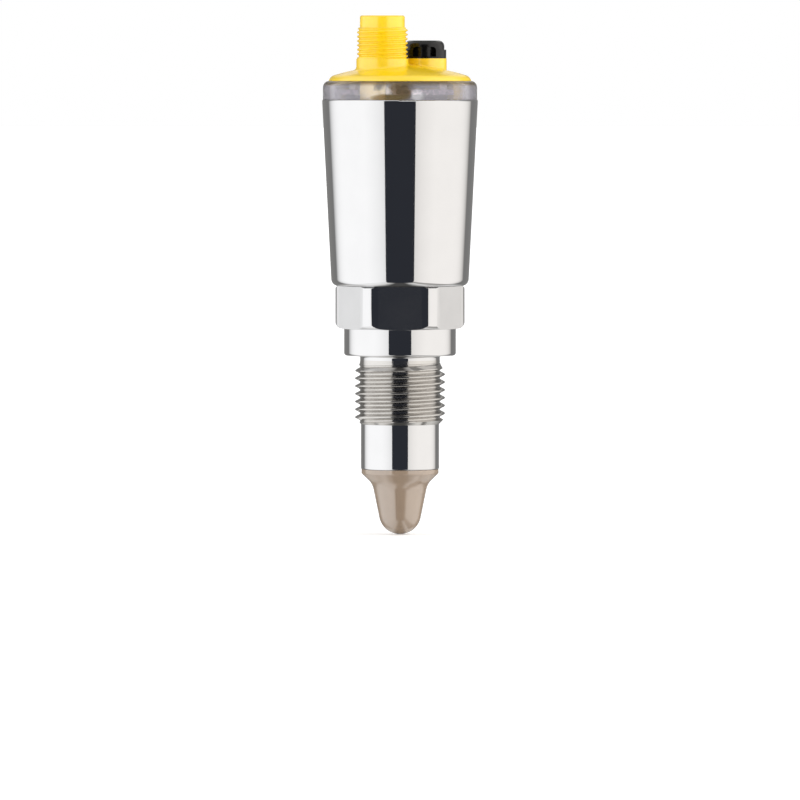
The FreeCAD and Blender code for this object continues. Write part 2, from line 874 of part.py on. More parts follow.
def make_sensing_chip():
    """Measuring chip on the sensing board, in front of the main board's tongue."""
    body = new_body("sensing_chip")
    outline = new_sketch(body, "ChipOutline", "XY_Plane", sensing_board_top)
    half = size("sensing_chip_width") / 2
    middle = -size("sensing_chip_shift")
    add_rectangle(outline, -half, half, middle - half, middle + half)
    padded(body, "Chip", outline, size("sensing_chip_height"))
    return body


def make_main_board():
    """Upright board held in the carrier's rails, its tongue reaching down into the fitting."""
    body = new_body("main_board")
    outline = new_sketch(body, "BoardOutline")
    half = carrier_radius - size("rail_depth") + size("slot_depth") - size("slide_gap") * 2
    tongue = size("tongue_width") / 2
    top = carrier_ring_base - size("slide_gap") * 2
    add_outline(outline, [
        (-half, carrier_flange_top),
        (-tongue, carrier_flange_top),
        (-tongue, tongue_base),
        (tongue, tongue_base),
        (tongue, carrier_flange_top),
        (half, carrier_flange_top),
        (half, top),
        (-half, top),
    ])
    padded(body, "Board", outline, size("board_thickness"), both_sides=True)
    return body


def make_electronics_carrier():
    """Moulded frame: skirted flange on the spigot, two slotted rails and the ring under the led board."""
    body = new_body("electronics_carrier")
    flange = new_sketch(body, "FlangeProfile")
    skirt_radius = upper_bore - size("slide_gap") * 2
    skirt_bore = carrier_bore
    flange_radius = spigot_radius + size("carrier_flange_lap")
    add_outline(flange, [
        (skirt_bore, spigot_top - size("carrier_skirt_depth")),
        (skirt_radius, spigot_top - size("carrier_skirt_depth")),
        (skirt_radius, spigot_top),
        (flange_radius, spigot_top),
        (flange_radius, carrier_flange_top),
        (skirt_bore, carrier_flange_top),
    ])
    turned(body, "Flange", flange)
    rail = new_sketch(body, "RailSection", "XY_Plane", carrier_flange_top - size("free_gap"))
    inner = carrier_radius - size("rail_depth")
    half = size("rail_width") / 2
    add_rectangle(rail, inner, carrier_radius - size("free_gap"), -half, half)
    height = carrier_ring_base - carrier_flange_top + size("free_gap") * 2
    raised = padded(body, "FirstRail", rail, height)
    ring_of(body, "Rails", [raised], as_size(2))
    ring = new_sketch(body, "RingProfile")
    add_rectangle(ring, carrier_bore, carrier_radius, carrier_ring_base, led_board_base)
    turned(body, "Ring", ring)
    slot = new_sketch(body, "BoardSlot", "XY_Plane", carrier_ring_base)
    half = board_face + size("slide_gap")
    add_rectangle(slot, inner - size("free_gap"), inner + size("slot_depth"), -half, half)
    cut = pocketed(body, "FirstSlot", slot, carrier_ring_base - carrier_flange_top)
    ring_of(body, "Slots", [cut], as_size(2))
    return body


def make_processor_chip():
    """Square chip on the front of the main board, with a row of leads on each side."""
    body = new_body("processor_chip")
    middle = (carrier_flange_top + carrier_ring_base) / 2
    half = size("processor_width") / 2
    case = new_sketch(body, "CaseOutline", "XZ_Plane", board_face)
    add_rectangle(case, -half, half, middle - half, middle + half)
    padded(body, "Case", case, size("processor_height"))
    lead = new_sketch(body, "LeadSection", "XZ_Plane", board_face)
    run = size("lead_pitch") * (size("lead_count") - 1)
    first = middle - run / 2
    outer = half + size("lead_reach")
    inner = half - size("lead_reach")
    half_lead = size("lead_width") / 2
    add_rectangle(lead, inner, outer, first - half_lead, first + half_lead)
    raised = padded(body, "FirstLead", lead, size("lead_thickness"))
    row_of(body, "RightLeads", [raised], (lead, ["V_Axis"]), run, size("lead_count"))
    opposite = new_sketch(body, "OppositeLeadSection", "XZ_Plane", board_face)
    add_rectangle(opposite, -outer, -inner, first - half_lead, first + half_lead)
    raised = padded(body, "FirstOppositeLead", opposite, size("lead_thickness"))
    row_of(body, "LeftLeads", [raised], (opposite, ["V_Axis"]), run, size("lead_count"))
    return body


def make_output_transistors():
    """Two output switches side by side, below the led board on the front of the main board."""
    body = new_body("output_transistors")
    case = new_sketch(body, "CaseOutline", "XZ_Plane", board_face)
    top = carrier_ring_base - size("transistor_length")
    right = -size("transistor_spacing") / 2 + size("transistor_width") / 2
    add_rectangle(case, right - size("transistor_width"), right, top - size("transistor_length"), top)
    raised = padded(body, "FirstCase", case, size("transistor_height"))
    row_of(body, "Cases", [raised], (case, ["H_Axis"]), size("transistor_spacing"), as_size(2))
    return body


def make_power_inductor():
    """Bobbin-shaped coil lying on the rear of the main board: a narrower winding between two flanges."""
    body = new_body("power_inductor")
    middle = (ZERO, (carrier_flange_top + carrier_ring_base) / 2)
    radius = size("inductor_radius")
    flange = size("inductor_flange")
    far_flange = size("inductor_height") - flange
    discs = [
        ("NearFlange", ZERO, radius, flange),
        ("Winding", flange, radius - size("inductor_waist"), far_flange - flange),
        ("FarFlange", far_flange, radius, flange),
    ]
    for name, lift, disc_radius, height in discs:
        disc = new_sketch(body, f"{name}Circle", "XZ_Plane", -board_face - lift)
        add_circle(disc, middle, disc_radius)
        padded(body, name, disc, height, rearwards=True)
    return body


def make_board_capacitors():
    """Can capacitors in a row on the front of the main board, each on its square base."""
    body = new_body("board_capacitors")
    level = carrier_flange_top + size("capacitor_radius") * 2
    half = size("capacitor_radius")
    first = -size("capacitor_spacing") * (size("capacitor_count") - 1) / 2
    base = new_sketch(body, "BaseOutline", "XZ_Plane", board_face)
    add_rectangle(base, first - half, first + half, level - half, level + half)
    foot = padded(body, "FirstBase", base, size("capacitor_base"))
    can = new_sketch(body, "CanCircle", "XZ_Plane", board_face)
    add_circle(can, (first, level), size("capacitor_radius") - size("slide_gap"))
    drum = padded(body, "FirstCan", can, size("capacitor_height"))
    run = size("capacitor_spacing") * (size("capacitor_count") - 1)
    row_of(body, "Row", [foot, drum], (can, ["H_Axis"]), run, size("capacitor_count"))
    return body


def make_housing_shell():
    """Conical shell with a floor on the hexagon, and a socket and ledge under its upper edge."""
    body = new_body("housing_shell")
    profile = new_sketch(body, "ShellProfile")
    floor_top = hex_top + size("housing_floor")
    add_outline(profile, [
        (spigot_radius + size("slide_gap"), hex_top),
        (housing_base_radius, hex_top),
        (housing_top_radius, housing_top),
        (socket_radius, housing_top),
        (socket_radius, socket_floor),
        (ledge_radius, socket_floor),
        (ledge_radius, ledge_base),
        (radius_of_housing(ledge_base) - size("housing_wall"), ledge_base),
        (radius_of_housing(floor_top) - size("housing_wall"), floor_top),
        (spigot_radius + size("slide_gap"), floor_top),
    ])
    turned(body, "TurnedShell", profile)
    lower = level_circle(housing_base_radius, hex_top)
    softened(body, "LowerEdge", body.Tip, lower, size("housing_lower_round"))
    upper = level_circle(housing_top_radius, housing_top)
    softened(body, "UpperEdge", body.Tip, upper, size("housing_upper_round"))
    return body


def make_light_ring():
    """Clear ring with a rounded upper edge, a step for the head's seal and a lip in the housing's socket."""
    body = new_body("light_ring")
    profile = new_sketch(body, "RingProfile")
    lip_base = socket_floor + size("ring_seal_section")
    step_base = ring_top - size("ring_step_depth")
    step_radius = ring_bore + size("ring_step_width")
    add_outline(profile, [
        (ring_bore, lip_base),
        (lip_radius, lip_base),
        (lip_radius, housing_top),
        (ring_radius, housing_top),
        (ring_radius, ring_top),
        (step_radius, ring_top),
        (step_radius, step_base),
        (ring_bore, step_base),
    ])
    turned(body, "TurnedRing", profile)
    softened(body, "UpperEdge", body.Tip, level_circle(ring_radius, ring_top), size("ring_round"))
    return body


def make_ring(label, radius, section, level, place=None):
    """A round seal of a given section about the main axis or another upright axis."""
    ring = document.addObject("Part::Torus", label)
    ring.Label = label
    ring.setExpression("Radius1", radius.text)
    ring.setExpression("Radius2", (section / 2).text)
    ring.setExpression("Placement.Base.z", level.text)
    if place:
        ring.setExpression("Placement.Base.x", place[0].text)
        ring.setExpression("Placement.Base.y", place[1].text)
    return ring


def make_lower_ring_seal():
    """Seal on the socket's floor, under the lip of the light ring."""
    section = size("ring_seal_section") - size("seal_gap") * 2
    level = socket_floor + size("ring_seal_section") / 2
    return make_ring("lower_ring_seal", (ring_bore + lip_radius) / 2, section, level)


def make_upper_ring_seal():
    """Seal between the head's spigot and the step of the light ring."""
    step_radius = ring_bore + size("ring_step_width")
    section = size("upper_seal_section")
    level = ring_top - section / 2 - size("seal_gap")
    return make_ring("upper_ring_seal", step_radius - section / 2 - size("seal_gap"), section, level)


def make_head_cover():
    """Yellow moulding: dome with rounded rim, plug stub, vent boss, spigot and four snap legs."""
    body = new_body("head_cover")
    spigot = ring_bore + size("ring_step_width") - size("upper_seal_section") - size("seal_gap") * 2
    add_dome(body, spigot)
    add_stub_and_boss(body)
    add_head_hollow(body)
    add_plug_cavity(body)
    add_vent_bores(body)
    add_snap_legs(body)
    return body


def add_dome(body, spigot):
    """Solid dome: a shallow sphere over a leaning rim, on the spigot that goes into the light ring."""
    profile = new_sketch(body, "DomeProfile")
    edge_angle = math.acos(dome_edge_radius.value / size("dome_radius").value)
    dome = add_arc(profile, (ZERO, dome_centre), size("dome_radius"), edge_angle, math.pi / 2)
    rim = add_line(profile, (head_radius, ring_top), (dome_edge_radius, dome_edge))
    lines = add_path(profile, [
        (ZERO, dome_top),
        (ZERO, head_spigot_base),
        (spigot, head_spigot_base),
        (spigot, ring_top),
        (head_radius, ring_top),
    ])
    hold(profile, dome, CENTRE, (ZERO, None))
    hold_radius(profile, dome, size("dome_radius"))
    hold(profile, rim, SECOND_END, (dome_edge_radius, None))
    join(profile, lines[-1], SECOND_END, rim, FIRST_END)
    join(profile, rim, SECOND_END, dome, FIRST_END)
    join(profile, dome, SECOND_END, lines[0], FIRST_END)
    turned(body, "SolidDome", profile)
    softened(body, "RimRound", body.Tip, level_circle(dome_edge_radius, dome_edge), size("dome_round"))


def add_stub_and_boss(body):
    """Raise the plug stub and the vent boss from inside the dome and round their roots."""
    columns = [
        ("PlugBase", plug_place, plug_base_radius, plug_base_top),
        ("PlugThread", plug_place, size("plug_thread_radius"), plug_thread_top),
        ("PlugNose", plug_place, plug_nose_radius, plug_top),
        ("VentBoss", vent_place, size("vent_boss_radius"), vent_boss_top),
    ]
    for name, place, radius, top in columns:
        outline = new_sketch(body, f"{name}Circle", "XY_Plane", ring_top, place)
        add_circle(outline, (ZERO, ZERO), radius)
        padded(body, name, outline, top - ring_top)
    plug_root = root_of(plug_place, plug_base_radius, ring_top)
    softened(body, "PlugRoot", body.Tip, plug_root, size("plug_root_round"))
    vent_root = root_of(vent_place, size("vent_boss_radius"), ring_top)
    softened(body, "VentRoot", body.Tip, vent_root, size("vent_root_round"))


def add_head_hollow(body):
    """Hollow the dome to its wall, under a ceiling that shares the dome's centre."""
    hollow = new_sketch(body, "HollowProfile")
    radius = size("dome_radius") - size("dome_wall")
    edge_angle = math.acos(leg_bore.value / radius.value)
    ceiling = add_arc(hollow, (ZERO, dome_centre), radius, edge_angle, math.pi / 2)
    edge_level = dome_centre + third_side(radius, leg_bore)
    below = head_spigot_base - size("free_gap")
    wall = add_line(hollow, (leg_bore, below), (leg_bore, edge_level))
    lines = add_path(hollow, [
        (ZERO, dome_top - size("dome_wall")),
        (ZERO, below),
        (leg_bore, below),
    ])
    hold(hollow, ceiling, CENTRE, (ZERO, None))
    hold_radius(hollow, ceiling, radius)
    hollow.addConstraint(Sketcher.Constraint("Vertical", wall))
    join(hollow, lines[-1], SECOND_END, wall, FIRST_END)
    join(hollow, wall, SECOND_END, ceiling, FIRST_END)
    join(hollow, ceiling, SECOND_END, lines[0], FIRST_END)
    turned_cut(body, "Hollow", hollow)


def add_plug_cavity(body):
    """Bore the stub for the plug, widen it below for the insert's flange and bevel its mouth."""
    mouth = new_sketch(body, "CavityCircle", "XY_Plane", plug_top, plug_place)
    add_circle(mouth, (ZERO, ZERO), size("cavity_radius"))
    pocketed(body, "Cavity", mouth, plug_top - head_spigot_base)
    seat = new_sketch(body, "InsertSeatCircle", "XY_Plane", insert_flange_top(), plug_place)
    add_circle(seat, (ZERO, ZERO), insert_flange_radius() + size("slide_gap"))
    pocketed(body, "InsertSeat", seat, insert_flange_top() - head_spigot_base)

    def outer_mouth(edge):
        if not isinstance(edge.Curve, Part.Circle):
            return False
        wide = abs(edge.Curve.Radius - plug_nose_radius.value) < TOUCHING
        return wide and abs(edge.Curve.Center.z - plug_top.value) < TOUCHING

    softened(body, "MouthBevel", body.Tip, outer_mouth, size("plug_mouth_chamfer"), "Chamfer")


def insert_flange_top():
    return cavity_floor - size("insert_height") + size("insert_flange_height")


def insert_flange_radius():
    return size("cavity_radius") + size("insert_flange_width")


def add_vent_bores(body):
    """Recess the boss for the membrane and drill the vent hole through the dome."""
    recess = new_sketch(body, "VentRecessCircle", "XY_Plane", vent_boss_top, vent_place)
    add_circle(recess, (ZERO, ZERO), size("vent_recess_radius"))
    pocketed(body, "VentRecess", recess, size("vent_recess_depth"))
    hole = new_sketch(body, "VentHoleCircle", "XY_Plane", vent_boss_top, vent_place)
    add_circle(hole, (ZERO, ZERO), size("vent_hole_radius"))
    pocketed(body, "VentHole", hole, vent_boss_top - head_spigot_base)


def add_snap_legs(body):
    """Legs that pass the housing's ledge and hook under it, spread evenly round the spigot."""
    leg = new_sketch(body, "LegProfile")
    turn_sketch(leg, SKETCH_UPWARDS, size("leg_turn"))
    hook_top = ledge_base - size("slide_gap") * 2
    hook_base = hook_top - size("hook_height")
    add_outline(leg, [
        (leg_bore, ring_top - size("head_spigot_drop") / 2),
        (leg_bore, hook_base),
        (leg_radius, hook_base),
        (leg_radius + size("hook_reach"), hook_top - size("hook_height") / 2),
        (leg_radius + size("hook_reach"), hook_top),
        (leg_radius, hook_top),
        (leg_radius, ring_top - size("head_spigot_drop") / 2),
    ])
    first = turned(body, "FirstLeg", leg, size("leg_angle"))
    ring_of(body, "Legs", [first], size("leg_count"))


def make_contact_insert():
    """Insulating insert that closes the stub: flange below, seal groove, four pin holes and coding key."""
    body = new_body("contact_insert", plug_place)
    profile = new_sketch(body, "InsertProfile")
    base = cavity_floor - size("insert_height")
    radius = size("cavity_radius") - size("slide_gap")
    groove_top = cavity_floor - size("insert_groove_drop")
    groove_base = groove_top - size("insert_groove_height")
    floor = radius - size("insert_groove_depth")
    add_outline(profile, [
        (ZERO, base),
        (insert_flange_radius(), base),
        (insert_flange_radius(), insert_flange_top()),
        (radius, insert_flange_top()),
        (radius, groove_base),
        (floor, groove_base),
        (floor, groove_top),
        (radius, groove_top),
        (radius, cavity_floor),
        (ZERO, cavity_floor),
    ])
    turned(body, "TurnedInsert", profile)
    key = new_sketch(body, "KeySection", "XY_Plane", cavity_floor - size("insert_groove_drop") / 2)
    half = size("key_width") / 2
    add_rectangle(key, -half, half, -radius + size("slide_gap"), -radius + size("key_depth"))
    length = size("cavity_depth") - size("key_setback") + size("insert_groove_drop") / 2
    padded(body, "CodingKey", key, length)
    hole = contact_sketch(body, "PinHole", cavity_floor, size("contact_radius") + size("seal_gap"))
    drilled = pocketed(body, "FirstPinHole", hole, size("insert_height"))
    ring_of(body, "PinHoles", [drilled], size("contact_count"))
    return body


def contact_sketch(body, name, level, radius, place=None):
    """Circle of the first contact on the contacts' pitch circle round the plug's axis."""
    sketch = new_sketch(body, name, "XY_Plane", level, place)
    turn = size("contact_turn")
    spot = (size("contact_circle_radius") * cosine(turn), size("contact_circle_radius") * sine(turn))
    add_circle(sketch, spot, radius)
    return sketch


def make_contact_pins():
    """Four round-ended pins from below the led board up to just inside the stub's mouth."""
    body = new_body("contact_pins", plug_place)
    base = led_board_base - size("contact_tail")
    top = plug_top - size("contact_setback")
    section = contact_sketch(body, "PinSection", base, size("contact_radius"))
    pin = padded(body, "FirstPin", section, top - base)

    def pin_end(edge):
        return isinstance(edge.Curve, Part.Circle) and abs(edge.Curve.Center.z - top.value) < TOUCHING

    end = softened(body, "PinEnd", pin, pin_end, size("contact_round"))
    ring_of(body, "Pins", [pin, end], size("contact_count"))
    return body


def make_insert_seal():
    """Seal in the insert's groove, against the wall of the stub."""
    radius = size("cavity_radius") - size("slide_gap")
    floor = radius - size("insert_groove_depth")
    section = size("cavity_radius") - floor - size("seal_gap") * 2
    level = cavity_floor - size("insert_groove_drop") - size("insert_groove_height") / 2
    return make_ring("insert_seal", (floor + size("cavity_radius")) / 2, section, level, plug_place)


def make_vent_membrane():
    """Breathable disc on the floor of the boss's recess."""
    body = new_body("vent_membrane", vent_place)
    outline = new_sketch(body, "DiscCircle", "XY_Plane", vent_boss_top - size("vent_recess_depth"))
    add_circle(outline, (ZERO, ZERO), size("vent_recess_radius") - size("free_gap"))
    padded(body, "Disc", outline, size("membrane_height"))
    return body


def make_vent_cap():
    """Black cap: stepped wall with three arched windows, and a slotted core pushed into the boss."""
    body = new_body("vent_cap", vent_place)
    profile = new_sketch(body, "CapProfile")
    skirt_top = vent_boss_top + size("cap_skirt_height")
    top = vent_boss_top + size("cap_height")
    roof = top - size("cap_roof")
    upper = cap_radius - size("cap_step")
    inner = upper - size("cap_wall")
    add_outline(profile, [
        (inner, vent_boss_top),
        (cap_radius, vent_boss_top),
        (cap_radius, skirt_top),
        (upper, skirt_top),
        (upper, top),
        (ZERO, top),
        (ZERO, roof),
        (inner, roof),
    ])
    turned(body, "TurnedCap", profile)
    softened(body, "RoofRound", body.Tip, level_circle(upper, top), size("cap_round"))
    window_base = vent_boss_top + size("window_lift")
    window_top = window_base + size("window_height")
    window = new_sketch(body, "WindowOutline", "XZ_Plane", cap_radius + size("free_gap"))
    add_arched_window(window, size("window_width") / 2, window_base, window_top, size("window_round"))
    cut = pocketed(body, "FrontWindow", window, cap_radius + size("free_gap") - inner / 2)
    ring_of(body, "Windows", [cut], size("window_count"))

    core = size("vent_recess_radius") - size("slide_gap")
    core_bore = core - size("cap_core_wall")
    tube = new_sketch(body, "CoreProfile")
    add_rectangle(tube, core_bore, core, vent_boss_top - size("cap_core_drop"), roof)
    turned(body, "Core", tube)
    slot = new_sketch(body, "CoreSlotSection", "YZ_Plane")
    slot_top = window_base + size("core_slot_height")
    add_rectangle(slot, core_bore / 2, (core + inner) / 2, window_base, slot_top)
    cut = turned_cut(body, "RearCoreSlot", slot, size("core_slot_angle"))
    ring_of(body, "CoreSlots", [cut], size("window_count"))
    return body


def add_arched_window(sketch, half, base, top, corner):
    """Outline of a window with a flat sill and two rounded upper corners."""
    spring = top - corner
    left = add_line(sketch, (-half, base), (-half, spring))
    first = add_arc(sketch, (corner - half, spring), corner, math.pi / 2, math.pi)
    lintel = add_line(sketch, (corner - half, top), (half - corner, top))
    second = add_arc(sketch, (half - corner, spring), corner, 0, math.pi / 2)
    right = add_line(sketch, (half, spring), (half, base))
    sill = add_line(sketch, (half, base), (-half, base))
    for line in (left, right):
        sketch.addConstraint(Sketcher.Constraint("Vertical", line))
    for line in (lintel, sill):
        sketch.addConstraint(Sketcher.Constraint("Horizontal", line))
    for line, line_end, arc, arc_end in (
        (left, SECOND_END, first, SECOND_END),
        (lintel, FIRST_END, first, FIRST_END),
        (lintel, SECOND_END, second, SECOND_END),
        (right, FIRST_END, second, FIRST_END),
    ):
        sketch.addConstraint(Sketcher.Constraint("Tangent", line, line_end, arc, arc_end))
    join(sketch, right, SECOND_END, sill, FIRST_END)
    join(sketch, sill, SECOND_END, left, FIRST_END)
    hold(sketch, left, FIRST_END, (-half, base))
    hold(sketch, right, SECOND_END, (half, None))
    hold(sketch, lintel, FIRST_END, (None, top))
    hold_radius(sketch, first, corner)
    hold_radius(sketch, second, corner)


def make_led_board():
    """Round board with notches for the legs and holes for the contacts and the strip."""
    body = new_body("led_board")
    outline = new_sketch(body, "BoardOutline", "XY_Plane", led_board_base)
    add_circle(outline, (ZERO, ZERO), led_board_radius)
    padded(body, "Board", outline, size("board_thickness"))
    notch = new_sketch(body, "NotchProfile")
    turn_sketch(notch, SKETCH_UPWARDS, size("leg_turn"))
    low = led_board_base - size("free_gap")
    high = led_board_top + size("free_gap")
    add_rectangle(notch, leg_bore - size("free_gap"), led_board_radius + size("free_gap"), low, high)
    cut = turned_cut(body, "FirstNotch", notch, size("leg_angle") + size("notch_spare_angle"))
    ring_of(body, "Notches", [cut], size("leg_count"))
    hole_radius = size("contact_radius") + size("slide_gap") * 2
    hole = contact_sketch(body, "ContactHole", led_board_top, hole_radius, plug_place)
    drilled = pocketed(body, "FirstContactHole", hole, size("board_thickness"))
    ring_of(body, "ContactHoles", [drilled], size("contact_count"), (hole, ["N_Axis"]))
    add_header_holes(body, led_board_top)
    return body


def make_status_leds():
    """Side-lit lamps spread round the led board between the legs."""
    body = new_body("status_leds")
    case = new_sketch(body, "LampOutline", "XY_Plane", led_board_top)
    turn_sketch(case, SKETCH_OUTWARDS, size("led_turn"))
    outer = led_board_radius - size("led_inset")
    half = size("led_width") / 2
    add_rectangle(case, outer - size("led_depth"), outer, -half, half)
    first = padded(body, "FirstLamp", case, size("led_height"))
    ring_of(body, "Lamps", [first], size("led_count"))
    return body


def make_pieces():
    """Every piece of the switch, from the probe up to the plug."""
    return [
        make_process_fitting(),
        make_probe_tip(),
        make_tip_seal_rings(),
        make_tip_locknut(),
        make_sensor_electrode(),
        make_electrode_insulator(),
        make_guard_electrode(),
        make_guard_contact(),
        make_sensing_board(),
        make_sensing_chip(),
        make_sensing_header(),
        make_main_board(),
        make_electronics_carrier(),
        make_processor_chip(),
        make_output_transistors(),
        make_power_inductor(),
        make_board_capacitors(),
        make_board_header(),
        make_led_board(),
        make_status_leds(),
        make_housing_shell(),
        make_lower_ring_seal(),
        make_light_ring(),
        make_upper_ring_seal(),
        make_head_cover(),
        make_contact_insert(),
        make_insert_seal(),
        make_contact_pins(),
        make_vent_membrane(),
        make_vent_cap(),
    ]


def check_pieces(pieces):
    """Stop before anything is written if a feature failed or a piece has no sound shape."""
    document.recompute()
    for thing in document.Objects:
        if "Invalid" in thing.State or "Error" in thing.State:
            raise ValueError(f"{thing.Label} is in state {thing.State}")
        if thing.TypeId == "Sketcher::SketchObject" and not thing.FullyConstrained:
            raise ValueError(f"{thing.Label} in {thing.getParentGeoFeatureGroup().Label} isn't fully held")
    for piece in pieces:
        if piece.Shape.isNull() or not piece.Shape.isValid():
            raise ValueError(f"{piece.Label} has no sound shape")


def write_pieces(pieces):
    os.makedirs("parts", exist_ok=True)
    for piece in pieces:
        piece.Shape.exportStep(f"parts/{piece.Label}.step")


pieces = make_pieces()
check_pieces(pieces)
write_pieces(pieces)
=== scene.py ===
import math

import bmesh
import bpy
from bpy.props import FloatProperty, FloatVectorProperty, IntProperty, PointerProperty
from mathutils import Matrix, Vector


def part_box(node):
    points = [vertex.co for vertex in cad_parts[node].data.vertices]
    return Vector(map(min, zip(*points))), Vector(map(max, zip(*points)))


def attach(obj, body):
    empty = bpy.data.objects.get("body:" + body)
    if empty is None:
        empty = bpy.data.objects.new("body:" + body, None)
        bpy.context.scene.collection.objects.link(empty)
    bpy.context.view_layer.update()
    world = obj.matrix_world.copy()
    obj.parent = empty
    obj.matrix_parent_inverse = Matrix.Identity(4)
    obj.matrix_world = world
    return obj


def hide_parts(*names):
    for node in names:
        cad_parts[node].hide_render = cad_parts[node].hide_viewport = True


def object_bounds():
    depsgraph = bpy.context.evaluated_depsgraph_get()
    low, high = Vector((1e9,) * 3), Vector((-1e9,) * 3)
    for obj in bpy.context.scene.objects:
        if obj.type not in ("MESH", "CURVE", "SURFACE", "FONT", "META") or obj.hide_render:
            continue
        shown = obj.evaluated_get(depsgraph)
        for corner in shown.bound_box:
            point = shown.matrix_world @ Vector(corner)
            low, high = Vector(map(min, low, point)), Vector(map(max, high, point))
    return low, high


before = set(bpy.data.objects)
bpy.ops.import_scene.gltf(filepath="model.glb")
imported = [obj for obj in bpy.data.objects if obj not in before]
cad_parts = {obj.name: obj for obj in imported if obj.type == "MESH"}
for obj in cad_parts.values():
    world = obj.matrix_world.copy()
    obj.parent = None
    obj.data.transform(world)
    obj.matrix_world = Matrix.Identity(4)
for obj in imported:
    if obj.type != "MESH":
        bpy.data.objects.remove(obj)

bl_info = {
    "name": "Impedance Level Switch",
    "version": (1, 0, 0),
    "blender": (4, 5, 0),
    "location": "3D View > Sidebar > Level Switch",
    "description": "Threads and finishes the pieces of a level switch, and lights it in a studio",
    "category": "Object",
}

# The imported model's own box, the fitting's box, and the box of the seal that lies round the plug stub's axis.
CAD_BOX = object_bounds()
FITTING_LOW, FITTING_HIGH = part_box("process_fitting")
SEAL_LOW, SEAL_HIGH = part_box("insert_seal")

MM = 0.001
BODY = "root"

# Corners closer than the first distance are joined, and those closer to a cut than the second lie on it.
JOINED = 1e-7
ON_CUT = 1e-8

# Edges that turn more than this stay sharp in the shading.
FITTING_CREASE = math.radians(18)
HEAD_CREASE = math.radians(32)

HEXAGON_SIDES = 6
CORNER_STRIPS = (1, 2, 3)

# The fitting's outline from the head of its thread round to the foot: radius, level and rounding in
# millimetres.
FITTING_OUTLINE = [
    (9.2975, -0.95, 0),
    (9.2975, 0, 0.55),
    (13.03, 0, 0.65),
    (13.03, 6.3, 0.08),
    (FITTING_HIGH.x / MM, 6.3, 1.5),
    (FITTING_HIGH.x / MM, 16.2, 0.6),
    (12.6, 16.2, 0),
    (12.6, FITTING_HIGH.z / MM, 0.2),
    (11.0, FITTING_HIGH.z / MM, 0.2),
    (11.0, 3.0, 0),
    (7.8, 3.0, 0),
    (7.8, -8.0, 0),
    (6.6, -8.0, 0),
    (6.6, FITTING_LOW.z / MM, 0.1),
    (9.1, FITTING_LOW.z / MM, 0.3),
    (9.1, -16.02, 0),
]

# Patches painted on the light ring at two of the head's legs: the legs as seen through it with a painted glow,
# a painted bluish reflection in the gap over a leg, painted shade beside and under the legs, and a painted
# glint
# with glow before the lamps. Columns: degrees round from the front with the reach to both sides, millimetres
# below the ring's top with the reach up and down, tint, and whether it takes the painted glow.
RING_PAINTED_SHAPES = (
    (-25.0, 11.0, 2.3, 2.1, "ring_painted_leg_light", True),
    (-9.5, 6.5, 2.1, 1.3, "ring_painted_leg_light", True),
    (-16.5, 3.8, 1.2, 1.1, "ring_painted_gap_reflection", False),
    (1.5, 7.7, 1.6, 3.0, "ring_painted_shade", False),
    (-8.5, 14.5, 3.9, 0.95, "ring_painted_foot_shade", False),
    (13.5, 6.5, 3.3, 1.5, "ring_painted_glint", True),
)

# How finely and how far the edges of those shapes waver round and up, and where they begin and end to fade.
WAVER_SCALE = 300.0
WAVER_AROUND = math.radians(4)
WAVER_UP = 0.3 * MM
SHAPE_FADE = (0.35, 1.2)

# Most of a noise's values lie in this range.
NOISE_SPAN = (0.3, 0.7)

# The head's shade begins and ends this far below the ring's top.
SHADE_START = 1.3 * MM
SHADE_END = 0.5 * MM

# Where the brightness of the set's cards begins and ends to change, as shares of their reach.
REAR_FADE = (0.42, 0.65)
TABLE_FADE = (0.3, 0.8)
CEILING_FADE = (0.2, 1.0)
FOOT_FADE = (1.1, 0.9)
FRONT_FADE = (1.0, 0.3)

# The floor's glow near the object and far from it, the distances between which it changes, in metres, and how
# far the floor lies below the object.
FLOOR_GLOW = (0.30, 0.75)
FLOOR_FADE = (0.05, 0.9)
FLOOR_DROP = 0.05 * MM

# A Mix node's sockets for colours, by their place in its lists.
MIX_SHARE, MIX_FIRST, MIX_SECOND, MIX_RESULT = 0, 6, 7, 2

WHITE = (1, 1, 1)
BLACK = (0, 0, 0)


# ---- Sizes and colours that a user would change ----


def length(name, description, default):
    return FloatProperty(name=name, description=description, default=default * MM, min=0, precision=5,
                         unit="LENGTH", subtype="DISTANCE")


def level(name, description, default):
    return FloatProperty(name=name, description=description, default=default * MM, precision=5,
                         unit="LENGTH", subtype="DISTANCE")


def angle(name, description, default):
    return FloatProperty(name=name, description=description, default=math.radians(default), min=0,
                         unit="ROTATION", subtype="ANGLE")


def colour(name, description, default):
    return FloatVectorProperty(name=name, description=description, default=default, min=0, max=1,
                               size=3, subtype="COLOR")


def plain(name, description, default, low=0.0, high=10.0):
    return FloatProperty(name=name, description=description, default=default, min=low, max=high)


